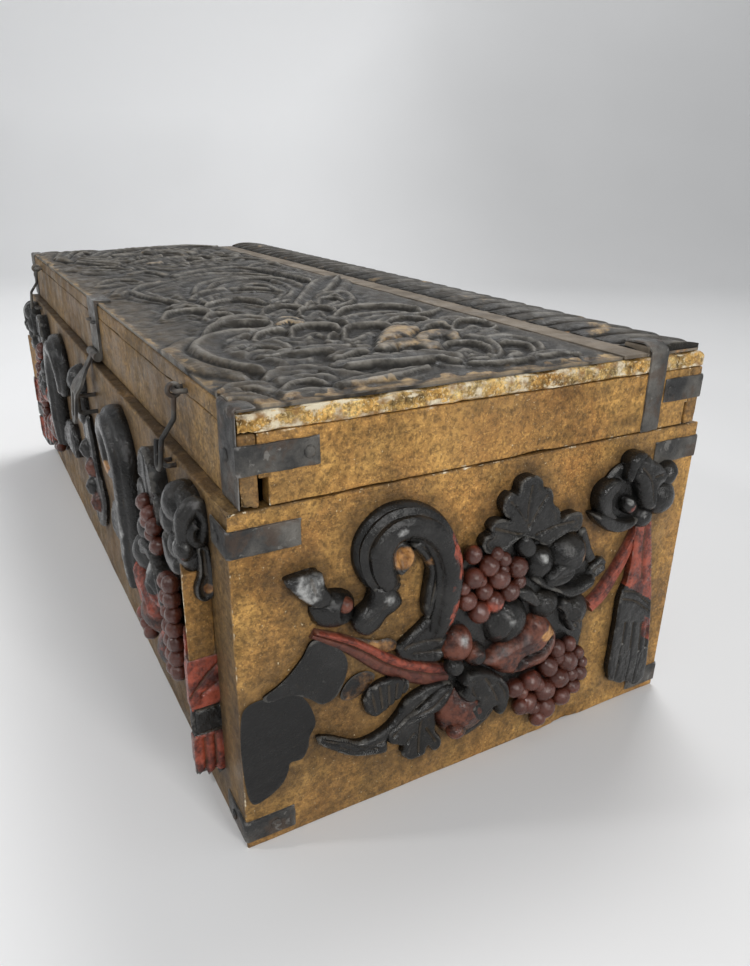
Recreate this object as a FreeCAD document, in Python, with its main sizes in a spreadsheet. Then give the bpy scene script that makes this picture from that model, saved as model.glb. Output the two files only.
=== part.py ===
"""Carved coffer chest: a boarded case with a hinged lid, iron straps and applied fruit carving.

Frame: +X to the right, +Y to the back, +Z up, origin in the middle of the bottom face. Millimetres.
"""
import FreeCAD, Part

import math
import os
import re

Vector = FreeCAD.Vector
X_AXIS, Y_AXIS, Z_AXIS = Vector(1, 0, 0), Vector(0, 1, 0), Vector(0, 0, 1)

DIMENSIONS = (
    ("body_length", 622, "case, outside length"),
    ("body_depth", 265, "case, outside depth"),
    ("body_height", 171.5, "case, height to the rim"),
    ("front_board", 8, "thickness of the front board, which laps the ends"),
    ("back_board", 8, "thickness of the back board, which laps the ends"),
    ("end_board", 9, "thickness of the two end boards"),
    ("bottom_board", 8, "thickness of the bottom board"),
    ("seam_gap", 0.4, "gap between the rim and the lid"),
    ("lid_setback_front", 6, "lid front behind the case front"),
    ("lid_setback_back", 4, "lid back in front of the case back"),
    ("rail", 8, "thickness of the lid rails"),
    ("rail_height", 30.5, "height of the lid rails"),
    ("lid_board", 8.5, "thickness of the lid top board"),
    ("lid_rounding", 5, "rounding of the top board's rear edge"),
    ("slot_front", 4, "open slot between front rail and end rail"),
    ("slot_back", 1.4, "open slot between back rail and end rail"),
    ("slot_height", 12, "height of both slots"),
    ("veneer", 1.2, "ground of the carved top panel"),
    ("scroll_rise", 5.5, "rise of the top scrolls above that ground"),
    ("panel_margin", 1, "top panel, in from the lid's edges"),
    ("field_border", 18, "plain strip along the front of the lid"),
    ("fillet_width", 16, "plain fillet in front of the gadroon band"),
    ("fillet_rise", 2.2, "rise of the plain fillet"),
    ("gadroon_width", 41.5, "width of the gadroon band"),
    ("gadroon_rise", 6, "rise of the gadroon band"),
    ("gadroon_pitch", 18.5, "spacing of its flutes"),
    ("gadroon_flute", 3.6, "radius of its flutes"),
    ("strap", 1.2, "thickness of the corner straps"),
    ("strap_width", 12.5, "height of the corner straps"),
    ("case_strap_leg", 31, "end and back legs of the upper case straps"),
    ("front_strap_leg", 20, "front legs of the upper case and lid straps"),
    ("case_strap_drop", 7, "upper case straps below the rim"),
    ("foot_strap_leg", 24, "legs of the lower case straps"),
    ("foot_strap_lift", 4, "lower case straps above the base"),
    ("lid_strap_leg", 34, "front straps of the lid, legs on the ends"),
    ("lid_back_leg", 27, "back straps of the lid, both legs"),
    ("lid_strap_lift", 14, "lid straps above the seam"),
    ("lid_plate_return", 9, "upright plates of the lid's front corners, leg over the top"),
    ("end_strap_width", 12, "width of the upright strap on the right end"),
    ("end_strap_inset", 28.5, "that strap, in from the lid's back"),
    ("end_strap_return", 20, "its leg over the top"),
    ("nail_head", 2.7, "radius of the nail heads"),
    ("nail_rise", 1.1, "rise of the nail heads"),
    ("nail_shank", 1, "radius of the nail shanks"),
    ("nail_length", 6, "length of the nail shanks in the wood"),
    ("hinge_inset", 121, "hinges, in from the ends"),
    ("hinge_width", 26, "width of a hinge"),
    ("hinge_knuckle", 3.4, "outside radius of a knuckle"),
    ("hinge_standoff", 0.5, "knuckles behind the case's back"),
    ("hinge_leaf", 1.6, "thickness of a leaf"),
    ("hinge_leaf_height", 26, "height of a leaf"),
    ("hinge_pin", 1.6, "radius of a hinge pin"),
    ("pin_clearance", 0.05, "radial clearance of pins"),
    ("knuckle_gap", 0.4, "end gap between knuckles"),
    ("hasp_middle", 30, "hasp, right of the middle"),
    ("hasp_strap_width", 26, "width of the hasp strap"),
    ("hasp_iron", 1.8, "thickness of the hasp iron"),
    ("hasp_knuckle", 3, "outside radius of the hasp knuckles"),
    ("hasp_knuckle_lift", 5.5, "hasp pivot above the rim"),
    ("hasp_pin", 1.4, "radius of the hasp pin"),
    ("hasp_length", 46, "hasp plate below its pivot"),
    ("hasp_width", 26, "widest part of the hasp plate"),
    ("hasp_slot_width", 7, "slot in the hasp plate"),
    ("hasp_slot_height", 17, "slot in the hasp plate"),
    ("staple_wire", 1.5, "wire radius of the hasp staple"),
    ("staple_reach", 13.4, "hasp staple in front of the case"),
    ("staple_span", 12, "hasp staple, between its legs"),
    ("staple_drop", 28.5, "hasp staple below the rim"),
    ("hook_inset", 67, "hooks, in from the ends"),
    ("hook_wire", 1.15, "wire radius of the hooks"),
    ("hook_clearance", 0.4, "play of a hook on its staple"),
    ("hook_reach", 37.6, "hook, pivot to turned end"),
    ("hook_lean", 9, "hook leaning out in front of its pivot"),
    ("hook_return", 13, "turned-up end of a hook"),
    ("hook_gap", 6.4, "shank to turned-up end"),
    ("hook_staple_reach", 5, "hook staples in front of the lid"),
    ("hook_staple_lift", 33, "hook staples above the rim"),
    ("hook_staple_span", 8, "hook staples and eyes, between their legs"),
    ("eye_reach", 4.5, "hook eyes in front of the case"),
    ("eye_drop", 3, "hook eyes below the rim"),
    ("front_relief", 14, "rise of the carving on the front"),
    ("end_relief", 11.5, "rise of the carving on the ends"),
    ("ribbon_relief", 5, "rise of the end ribbons and tails"),
    ("leaf_relief", 4, "rise of the flat leaves"),
    ("grape", 4.6, "radius of a grape"),
    ("front_boss_inset", 45, "front bosses, in from the ends"),
    ("front_boss_drop", 25.5, "front bosses below the rim"),
    ("pattern_depth", 265, "width that the end carving is drawn for"),
    ("pattern_height", 171.5, "height that the end carving is drawn for"),
    ("cluster_inset", 60, "middles of the front fruit clusters from the bosses"),
    ("cluster_drop", 79.5, "middles of the front fruit clusters below the rim"),
    ("horn_inset", 118, "feet of the front horns from the bosses"),
    ("horn_drop", 109.5, "feet of the front horns below the rim"),
)

doc = FreeCAD.newDocument("coffer_chest")
sheet = doc.addObject("Spreadsheet::Sheet", "dimensions")
for row, (alias, value, meaning) in enumerate(DIMENSIONS, start=1):
    sheet.set(f"A{row}", meaning)
    sheet.set(f"B{row}", str(value))
    sheet.setAlias(f"B{row}", alias)
doc.recompute()
ALIASES = {alias for alias, _, _ in DIMENSIONS}

# Places that several pieces share, as expressions of the sheet.
LID_BASE = "(body_height + seam_gap)"
LID_FRONT = "(lid_setback_front - body_depth / 2)"
LID_BACK = "(body_depth / 2 - lid_setback_back)"
LID_DEPTH = "(body_depth - lid_setback_front - lid_setback_back)"
LID_TOP = "(body_height + seam_gap + rail_height + lid_board)"
HALF_LENGTH = "(body_length / 2)"
CASE_FRONT = "(-body_depth / 2)"

subparts = []


def size(alias):
    """The sheet's value of one driving dimension."""
    return float(sheet.get(alias))


def bound(formula):
    """A formula of plain aliases, as an expression that reads the sheet."""
    def qualify(match):
        word = match.group()
        return f"dimensions.{word}" if word in ALIASES else word
    return re.sub(r"[a-z_]+", qualify, formula)


def block(name, lengths, corner):
    """A box whose three sizes and low corner are bound to the sheet."""
    box = doc.addObject("Part::Box", name)
    for side, formula in zip(("Length", "Width", "Height"), lengths):
        box.setExpression(side, bound(formula))
    for axis, formula in zip("xyz", corner):
        box.setExpression(f"Placement.Base.{axis}", bound(formula))
    return box


def keep(thing, label):
    """Give a finished sub-part its node name."""
    thing.Label = label
    subparts.append(thing)
    return thing


def joined(name, members, kind="Part::MultiFuse"):
    """A fuse of several objects, or with kind Part::Compound a group of loose ones."""
    group = doc.addObject(kind, name)
    setattr(group, "Links" if kind == "Part::Compound" else "Shapes", members)
    return group


def shaped(label, shape):
    """A sub-part whose free form is made with Part's own functions."""
    feature = doc.addObject("Part::Feature", label)
    feature.Shape = shape
    return keep(feature, label)


# ---------------------------------------------------------------- case boards

def case_boards():
    """Front and back lap the two ends; the bottom lies between all four."""
    inner_depth = "body_depth - front_board - back_board"
    end_front = "front_board - body_depth / 2"
    keep(block("FrontBoard", ("body_length", "front_board", "body_height"),
               ("-body_length / 2", CASE_FRONT, "0")), "front_board")
    keep(block("BackBoard", ("body_length", "back_board", "body_height"),
               ("-body_length / 2", "body_depth / 2 - back_board", "0")), "back_board")
    keep(block("RightEnd", ("end_board", inner_depth, "body_height"),
               ("body_length / 2 - end_board", end_front, "0")), "right_end_board")
    keep(block("LeftEnd", ("end_board", inner_depth, "body_height"),
               ("-body_length / 2", end_front, "0")), "left_end_board")
    keep(block("Bottom", ("body_length - 2 * end_board", inner_depth, "bottom_board"),
               ("end_board - body_length / 2", end_front, "0")), "bottom_board")


# ---------------------------------------------------------------- lid boards

def slotted_end_rail(name, corner_x, label):
    """An end rail between the long rails, cut back at both foot corners."""
    start = f"{LID_FRONT} + rail"
    end = f"{LID_BACK} - rail"
    rail = block(name, ("rail", f"{LID_DEPTH} - 2 * rail", "rail_height"), (corner_x, start, LID_BASE))
    front_slot = block(name + "FrontSlot", ("rail", "slot_front", "slot_height"),
                       (corner_x, start, LID_BASE))
    back_slot = block(name + "BackSlot", ("rail", "slot_back", "slot_height"),
                      (corner_x, f"{end} - slot_back", LID_BASE))
    cut = doc.addObject("Part::Cut", name + "Slotted")
    cut.Base = rail
    cut.Tool = joined(name + "Slots", [front_slot, back_slot], "Part::Compound")
    keep(cut, label)


def lid_boards():
    """Four rails under a top board with a rounded rear edge."""
    keep(block("LidFrontRail", ("body_length", "rail", "rail_height"),
               ("-body_length / 2", LID_FRONT, LID_BASE)), "lid_front_rail")
    keep(block("LidBackRail", ("body_length", "rail", "rail_height"),
               ("-body_length / 2", f"{LID_BACK} - rail", LID_BASE)), "lid_back_rail")
    slotted_end_rail("LidRightRail", "body_length / 2 - rail", "lid_right_rail")
    slotted_end_rail("LidLeftRail", "-body_length / 2", "lid_left_rail")
    top = block("LidTop", ("body_length", LID_DEPTH, "lid_board"),
                ("-body_length / 2", LID_FRONT, f"{LID_BASE} + rail_height"))
    doc.recompute()
    highest, rearmost = top.Shape.BoundBox.ZMax, top.Shape.BoundBox.YMax
    edge = next(number for number, edge in enumerate(top.Shape.Edges, start=1)
                if edge.CenterOfMass.z > highest - 0.01 and edge.CenterOfMass.y > rearmost - 0.01)
    rounded = doc.addObject("Part::Fillet", "LidTopRounded")
    rounded.Base = top
    rounded.Edges = [(edge, size("lid_rounding"), size("lid_rounding"))]
    keep(rounded, "lid_top_board")


# ---------------------------------------------------------------- carved top

def outline_face(points, closed_spline=True):
    """A flat face inside points (u, v), round where closed_spline is set and else straight."""
    corners = [Vector(u, v, 0) for u, v in points]
    if closed_spline:
        curve = Part.BSplineCurve()
        curve.interpolate(corners, PeriodicFlag=True)
        return Part.Face(Part.Wire([curve.toShape()]))
    return Part.Face(Part.makePolygon(corners + corners[:1]))


# Outlines of the top's leaves and scrolls, in shares of half the length and of the field's depth.
SIDE_LEAVES = (
    ((0.51, -0.18), (0.47, -0.21), (0.46, -0.27), (0.50, -0.34), (0.55, -0.41), (0.62, -0.46), (0.71, -0.49),
     (0.80, -0.48), (0.85, -0.45), (0.88, -0.39), (0.86, -0.35), (0.81, -0.40), (0.76, -0.42), (0.68, -0.42),
     (0.61, -0.40), (0.57, -0.35), (0.54, -0.29), (0.54, -0.22)),
    ((0.60, -0.30), (0.57, -0.22), (0.58, -0.12), (0.62, -0.05), (0.67, -0.06), (0.64, -0.12), (0.64, -0.19),
     (0.70, -0.26), (0.70, -0.31), (0.65, -0.32)),
    ((0.76, -0.33), (0.75, -0.26), (0.77, -0.18), (0.79, -0.10), (0.84, -0.02), (0.89, 0.02), (0.93, -0.02),
     (0.94, -0.12), (0.94, -0.22), (0.91, -0.30), (0.86, -0.33), (0.80, -0.36)),
    ((0.88, 0.09), (0.92, 0.15), (0.93, 0.26), (0.89, 0.38), (0.83, 0.43), (0.78, 0.43), (0.76, 0.36),
     (0.79, 0.28), (0.81, 0.33), (0.85, 0.33), (0.88, 0.25), (0.88, 0.17), (0.83, 0.19), (0.79, 0.23),
     (0.77, 0.18), (0.82, 0.11)),
    ((0.66, 0.10), (0.69, 0.03), (0.77, -0.04), (0.76, 0.05), (0.71, 0.12), (0.67, 0.15)),
    ((0.48, 0.06), (0.43, 0.13), (0.40, 0.26), (0.43, 0.38), (0.49, 0.43), (0.50, 0.35), (0.47, 0.28),
     (0.48, 0.18), (0.53, 0.12), (0.53, 0.07)),
    ((0.60, 0.08), (0.55, 0.15), (0.52, 0.25), (0.54, 0.36), (0.60, 0.40), (0.66, 0.36), (0.62, 0.28),
     (0.60, 0.20), (0.64, 0.18), (0.65, 0.12)),
    ((0.35, -0.48), (0.28, -0.40), (0.31, -0.31), (0.38, -0.28), (0.43, -0.32), (0.43, -0.40), (0.40, -0.46)),
    ((0.44, -0.03), (0.39, 0.03), (0.35, 0.09), (0.33, 0.04), (0.35, -0.06), (0.40, -0.12)),
)
MIDDLE_LEAVES = (
    ((0.30, -0.28), (0.25, -0.17), (0.24, -0.06), (0.20, 0.07), (0.14, 0.17), (0.03, 0.28), (-0.12, 0.36),
     (-0.24, 0.33), (-0.29, 0.20), (-0.25, 0.20), (-0.20, 0.28), (-0.12, 0.31), (0.02, 0.23), (0.12, 0.13),
     (0.16, 0.03), (0.20, -0.09), (0.20, -0.20), (0.25, -0.30)),
    ((0.30, 0.15), (0.20, 0.25), (0.12, 0.36), (0.10, 0.43), (0.17, 0.42), (0.24, 0.33), (0.29, 0.24)),
    ((0.05, -0.49), (-0.07, -0.43), (-0.02, -0.37), (0.08, -0.35), (0.16, -0.38), (0.18, -0.44),
     (0.13, -0.48)),
    ((-0.18, -0.47), (-0.24, -0.38), (-0.20, -0.27), (-0.12, -0.29), (-0.08, -0.37), (-0.12, -0.46)),
    ((-0.02, -0.20), (-0.12, -0.12), (-0.14, 0.0), (-0.05, 0.12), (0.05, 0.06), (0.08, -0.05), (0.05, -0.16)),
    ((-0.20, -0.12), (-0.28, -0.02), (-0.24, 0.08), (-0.18, 0.0)),
)


def top_dressing():
    """The carved panel, the plain fillet and the fluted gadroon band on the lid's top board."""
    length = size("body_length") - 2 * size("panel_margin")
    top = size("body_height") + size("seam_gap") + size("rail_height") + size("lid_board")
    back = size("body_depth") / 2 - size("lid_setback_back")
    front = size("lid_setback_front") - size("body_depth") / 2 + size("panel_margin")
    band_front = back - size("gadroon_width")
    fillet_front = band_front - size("fillet_width")

    ground = Part.makeBox(length, fillet_front - front, size("veneer"), Vector(-length / 2, front, top))
    field_front = front + size("field_border")
    depth, middle = fillet_front - field_front, (fillet_front + field_front) / 2

    def raised(leaves, hand):
        grown = []
        for points in leaves:
            outline = outline_face([(hand * u * length / 2, middle + v * depth) for u, v in points])
            outline.translate(Vector(0, 0, top + size("veneer") / 2))
            grown.append(outline.extrude(Vector(0, 0, size("veneer") / 2 + size("scroll_rise"))))
        return grown

    carved = raised(SIDE_LEAVES, 1) + raised(SIDE_LEAVES, -1) + raised(MIDDLE_LEAVES, 1)
    shaped("lid_carved_panel", ground.multiFuse(carved).removeSplitter())

    fillet = Part.makeBox(length, size("fillet_width"), size("fillet_rise"),
                          Vector(-length / 2, fillet_front, top))
    shaped("lid_fillet", fillet)

    rounding = size("lid_rounding")
    crown = top + size("gadroon_rise")
    arc = Part.Arc(Vector(0, band_front, top + size("gadroon_rise") * 0.55),
                   Vector(0, band_front + size("gadroon_width") * 0.42, crown),
                   Vector(0, back - rounding, top + size("gadroon_rise") * 0.25))
    low_front, low_back = Vector(0, band_front, top), Vector(0, back - rounding, top)
    profile = Part.Wire([arc.toShape(), Part.makeLine(arc.EndPoint, low_back),
                         Part.makeLine(low_back, low_front), Part.makeLine(low_front, arc.StartPoint)])
    band = Part.Face(profile).extrude(Vector(length, 0, 0))
    band.translate(Vector(-length / 2, 0, 0))
    flute, pitch = size("gadroon_flute"), size("gadroon_pitch")
    count = int((length - pitch) / pitch)
    lean = math.radians(24)
    direction = Vector(math.sin(lean), -math.cos(lean), 0)
    flutes = []
    for number in range(count):
        start = Vector((number - (count - 1) / 2) * pitch - pitch / 2, back, crown + flute * 0.3)
        flutes.append(Part.makeCylinder(flute, size("gadroon_width") * 1.25, start, direction))
    shaped("lid_gadroon_band", band.cut(Part.makeCompound(flutes)))


# ---------------------------------------------------------------- iron straps

def corner_bracket(name, side_x, side_y, legs, height, base, front, back):
    """An L of strap iron round one upright corner; side_x and side_y are 1 or -1."""
    end_leg, long_leg = legs
    face_x = HALF_LENGTH if side_x > 0 else f"(-{HALF_LENGTH} - strap)"
    end_y = f"({back} - {end_leg})" if side_y > 0 else front
    on_end = block(name + "End", ("strap", end_leg, height), (face_x, end_y, base))
    long_y = back if side_y > 0 else f"({front} - strap)"
    long_x = f"({HALF_LENGTH} - {long_leg})" if side_x > 0 else f"(-{HALF_LENGTH} - strap)"
    on_long = block(name + "Long", (f"{long_leg} + strap", "strap", height), (long_x, long_y, base))
    return joined(name, [on_end, on_long])


def bracket_set(label, front_legs, back_legs, height, base, front, back):
    """Four brackets, one at each upright corner; legs are (on the end, on the long side)."""
    brackets = []
    for side_x in (1, -1):
        for side_y, legs in ((1, back_legs), (-1, front_legs)):
            name = f"{label}_{'right' if side_x > 0 else 'left'}_{'back' if side_y > 0 else 'front'}"
            brackets.append(corner_bracket(name, side_x, side_y, legs, height, base, front, back))
    return brackets


def corner_straps():
    """Upper and lower straps of the case, and the lid's, whose front ones carry an upright plate."""
    case_back = "(body_depth / 2)"
    upper = bracket_set("UpperStrap", ("case_strap_leg", "front_strap_leg"), ("case_strap_leg",) * 2,
                        "strap_width", "body_height - case_strap_drop - strap_width", CASE_FRONT, case_back)
    keep(joined("UpperStraps", upper, "Part::Compound"), "upper_corner_straps")
    lower = bracket_set("LowerStrap", ("foot_strap_leg",) * 2, ("foot_strap_leg",) * 2,
                        "strap_width", "foot_strap_lift", CASE_FRONT, case_back)
    keep(joined("LowerStraps", lower, "Part::Compound"), "lower_corner_straps")
    lid = bracket_set("LidStrap", ("lid_strap_leg", "front_strap_leg"), ("lid_back_leg",) * 2,
                      "strap_width", f"{LID_BASE} + lid_strap_lift", LID_FRONT, LID_BACK)
    plate_height = "rail_height + lid_board + veneer"
    for number, side in ((1, 1), (3, -1)):
        corner = f"{HALF_LENGTH} - front_strap_leg" if side > 0 else f"-{HALF_LENGTH}"
        plate = block(f"LidPlate{number}", ("front_strap_leg", "strap", plate_height),
                      (corner, f"{LID_FRONT} - strap", LID_BASE))
        over = block(f"LidPlateOver{number}", ("front_strap_leg", "lid_plate_return + strap", "strap"),
                     (corner, f"{LID_FRONT} - strap", f"{LID_BASE} + {plate_height}"))
        lid[number] = joined(f"LidFrontStrap{number}", [lid[number], plate, over])
    keep(joined("LidStraps", lid, "Part::Compound"), "lid_corner_straps")

    strap_front = f"{LID_BACK} - end_strap_inset - end_strap_width"
    crown = f"({LID_TOP} + gadroon_rise)"
    upright = block("EndStrapUpright", ("strap", "end_strap_width", f"{crown} - {LID_BASE}"),
                    (HALF_LENGTH, strap_front, LID_BASE))
    over = block("EndStrapOver", ("end_strap_return + strap", "end_strap_width", "strap"),
                 (f"{HALF_LENGTH} - end_strap_return", strap_front, crown))
    keep(joined("EndStrap", [upright, over]), "lid_end_strap")


# ---------------------------------------------------------------- nails

def nail(place, outward):
    """A domed head on the iron and its shank in the wood behind; place is on the iron's face."""
    head, rise = size("nail_head"), size("nail_rise")
    ball = (head * head + rise * rise) / (2 * rise)
    dome = Part.makeSphere(ball, place - outward * (ball - rise))
    cap = Part.makeCylinder(head * 1.5, rise * 2, place, outward)
    shank = Part.makeCylinder(size("nail_shank"), size("nail_length") + size("strap"),
                              place - outward * (size("nail_length") + size("strap")), outward)
    return dome.common(cap).fuse(shank)


def strap_nails(front_legs, back_legs, height, front, back, shares):
    """Nails in four brackets; shares are how far along each leg they stand."""
    half, strap = size("body_length") / 2, size("strap")
    nails = []
    for side_x in (1, -1):
        face = side_x * (half + strap)
        for share in shares:
            nails.append(nail(Vector(face, front + size(front_legs[0]) * share, height), X_AXIS * side_x))
            nails.append(nail(Vector(face, back - size(back_legs[0]) * share, height), X_AXIS * side_x))
            along = side_x * (half - size(back_legs[1]) * share)
            nails.append(nail(Vector(along, back + strap, height), Y_AXIS))
        along = side_x * (half - size(front_legs[1]) * 0.55)
        nails.append(nail(Vector(along, front - strap, height), -Y_AXIS))
    return nails


def all_nails():
    """One group of nails on the case and one on the lid."""
    front, back = -size("body_depth") / 2, size("body_depth") / 2
    middle = size("strap_width") / 2
    upper = size("body_height") - size("case_strap_drop") - middle
    leg, foot = "case_strap_leg", "foot_strap_leg"
    nails = strap_nails((leg, "front_strap_leg"), (leg, leg), upper, front, back, (0.5, 0.88))
    nails += strap_nails((foot, foot), (foot, foot), size("foot_strap_lift") + middle, front, back, (0.6,))
    hinge_foot = size("body_height") - size("hinge_leaf_height") + 6
    for side in (1, -1):
        for step in (-0.28, 0.28):
            spot = side * (size("body_length") / 2 - size("hinge_inset")) + step * size("hinge_width")
            iron = back + size("hinge_leaf")
            nails.append(nail(Vector(spot, iron, hinge_foot), Y_AXIS))
    shaped("case_nails", Part.makeCompound(nails))

    lid_front, lid_back = front + size("lid_setback_front"), back - size("lid_setback_back")
    base = size("body_height") + size("seam_gap")
    nails = strap_nails(("lid_strap_leg", "front_strap_leg"), ("lid_back_leg", "lid_back_leg"),
                        base + size("lid_strap_lift") + middle, lid_front, lid_back, (0.86,))
    iron = size("body_length") / 2 + size("strap")
    strap_middle = lid_back - size("end_strap_inset") - size("end_strap_width") / 2
    for share in (0.3, 0.72):
        nails.append(nail(Vector(iron, strap_middle, base + size("rail_height") * share), X_AXIS))
    for side in (1, -1):
        for step in (-0.28, 0.28):
            spot = side * (size("body_length") / 2 - size("hinge_inset")) + step * size("hinge_width")
            height = base + size("hinge_leaf_height") - 5
            nails.append(nail(Vector(spot, lid_back + size("hinge_leaf"), height), Y_AXIS))
    for share in (0.45, 0.85):
        for step in (-0.25, 0.25):
            spot = size("hasp_middle") + step * size("hasp_strap_width")
            height = base + size("rail_height") * share
            nails.append(nail(Vector(spot, lid_front - size("hasp_iron"), height), -Y_AXIS))
    shaped("lid_nails", Part.makeCompound(nails))


# ---------------------------------------------------------------- hinges

def extruded_strip(points, thickness, start_x, width):
    """Strip iron bent along points (y, z), its outer face on them, as wide as given along X."""
    outer = [Vector(start_x, y, z) for y, z in points]
    inner = []
    for number, point in enumerate(outer):
        before, after = outer[max(number - 1, 0)], outer[min(number + 1, len(outer) - 1)]
        along = (after - before).normalize()
        inner.append(point + Vector(0, -along.z, along.y) * thickness)
    return Part.Face(Part.makePolygon(outer + inner[::-1] + outer[:1])).extrude(Vector(width, 0, 0))


def lid_axis():
    """Height and depth of the line that the lid turns about."""
    depth = size("body_depth") / 2 + size("hinge_knuckle") + size("hinge_standoff")
    return depth, size("body_height") + size("seam_gap") / 2


def hinges():
    """Two strap hinges: leaves on the two back faces, three knuckles and a pin each."""
    y, z = lid_axis()
    radius, leaf, width = size("hinge_knuckle"), size("hinge_leaf"), size("hinge_width")
    bore = size("hinge_pin") + size("pin_clearance")
    case_back, lid_back = size("body_depth") / 2, size("body_depth") / 2 - size("lid_setback_back")
    gap, clear = size("knuckle_gap"), size("hinge_knuckle") + size("knuckle_gap")
    middle = width / 3
    pins = []
    for side, name in ((1, "right"), (-1, "left")):
        start = side * (size("body_length") / 2 - size("hinge_inset")) - width / 2
        outer_width = (width - middle) / 2 - gap
        plate = Part.makeBox(width, leaf, size("hinge_leaf_height") - clear,
                             Vector(start, case_back, z - size("hinge_leaf_height")))
        pieces = []
        for offset in (0, width - outer_width):
            pieces.append(Part.makeBox(outer_width, leaf, clear,
                                       Vector(start + offset, case_back, z - clear)))
            pieces.append(Part.makeCylinder(radius, outer_width, Vector(start + offset, y, z), X_AXIS))
        hole = Part.makeCylinder(bore, width, Vector(start, y, z), X_AXIS)
        shaped(f"hinge_case_leaf_{name}", plate.multiFuse(pieces).cut(hole).removeSplitter())

        web_start = start + (width - middle) / 2
        web = Part.makeBox(middle, leaf, clear, Vector(web_start, case_back, z))
        barrel = Part.makeCylinder(radius, middle, Vector(web_start, y, z), X_AXIS)
        step, top = size("lid_setback_back"), z + size("hinge_leaf_height")
        knee = z + clear + leaf
        bent = extruded_strip(((case_back + leaf, z + clear), (case_back + leaf, knee),
                               (lid_back + leaf, knee + step), (lid_back + leaf, top)),
                              leaf, start, width)
        hole = Part.makeCylinder(bore, middle, Vector(web_start, y, z), X_AXIS)
        shaped(f"hinge_lid_leaf_{name}", bent.multiFuse([web, barrel]).cut(hole).removeSplitter())
        pins.append(Part.makeCylinder(size("hinge_pin"), width, Vector(start, y, z), X_AXIS))
    shaped("hinge_pins", Part.makeCompound(pins))


# ---------------------------------------------------------------- wire work

def wire(points, radius, bend):
    """Round wire along straight runs with tangent arcs of radius bend at the corners."""
    edges, start = [], points[0]
    for before, corner, after in zip(points, points[1:], points[2:]):
        inward, outward = (corner - before).normalize(), (after - corner).normalize()
        turn = inward.getAngle(outward)
        setback = bend * math.tan(turn / 2)
        first, last = corner - inward * setback, corner + outward * setback
        middle_line = (outward - inward).normalize()
        centre = corner + middle_line * (bend / math.cos(turn / 2))
        edges.append(Part.makeLine(start, first))
        edges.append(Part.Arc(first, centre - middle_line * bend, last).toShape())
        start = last
    edges.append(Part.makeLine(start, points[-1]))
    path = Part.Wire(edges)
    section = Part.Wire([Part.makeCircle(radius, points[0], points[1] - points[0])])
    return path.makePipeShell([section], True, False)


def staple(middle, reach, span, along, radius, depth=6):
    """A wire staple driven in from the front; its crown runs along the given axis."""
    half = along * (span / 2)
    inside, outside = Vector(0, depth, 0), Vector(0, -reach, 0)
    return wire([middle + half + inside, middle + half + outside,
                 middle - half + outside, middle - half + inside], radius, radius * 1.6)


def hook_pivot(side):
    """Centre of the staple's crown that a hook hangs on."""
    lid_front = size("lid_setback_front") - size("body_depth") / 2
    return Vector(side * (size("body_length") / 2 - size("hook_inset")),
                  lid_front - size("hook_staple_reach"), size("body_height") + size("hook_staple_lift"))


def hook_sets():
    """Two wire hooks on the lid, their staples, and the eyes on the case."""
    radius, reach, lean = size("hook_wire"), size("hook_reach"), size("hook_lean")
    span = size("hook_staple_span")
    staples, eyes = [], []
    for side, name in ((1, "right"), (-1, "left")):
        pivot = hook_pivot(side)
        seat = pivot + Vector(0, size("hook_staple_reach"), 0)
        staples.append(staple(seat, size("hook_staple_reach"), span, X_AXIS, radius))
        ring = 2 * radius + size("hook_clearance")
        loop = Part.makeTorus(ring, radius, pivot, X_AXIS)
        drop = math.sqrt(reach * reach - lean * lean)
        inboard = Vector(-side * size("hook_gap"), 0, 0)
        foot = pivot + Vector(0, -lean, -drop)
        knee = pivot + Vector(0, -lean * 0.8, -drop * 0.6)
        shank = [pivot + Vector(0, 0, -ring), pivot + Vector(0, -lean * 0.1, -drop * 0.36), knee, foot,
                 foot + inboard, foot + inboard + Vector(0, lean * 0.1, size("hook_return"))]
        shaped(f"hook_{name}", loop.fuse(wire(shank, radius, size("hook_gap") * 0.45)))
        eye_middle = Vector(pivot.x - side * (size("hook_gap") / 2 + span / 2), -size("body_depth") / 2,
                            size("body_height") - size("eye_drop"))
        eyes.append(staple(eye_middle, size("eye_reach"), span, X_AXIS, radius))
    shaped("hook_staples", Part.makeCompound(staples))
    shaped("hook_eyes", Part.makeCompound(eyes))


# ---------------------------------------------------------------- hasp

def hasp_pivot():
    """Point on the line that the hasp plate turns about."""
    lid_front = size("lid_setback_front") - size("body_depth") / 2
    return Vector(size("hasp_middle"), lid_front - size("hasp_iron") - size("hasp_knuckle") * 0.5,
                  size("body_height") + size("hasp_knuckle_lift"))


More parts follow.
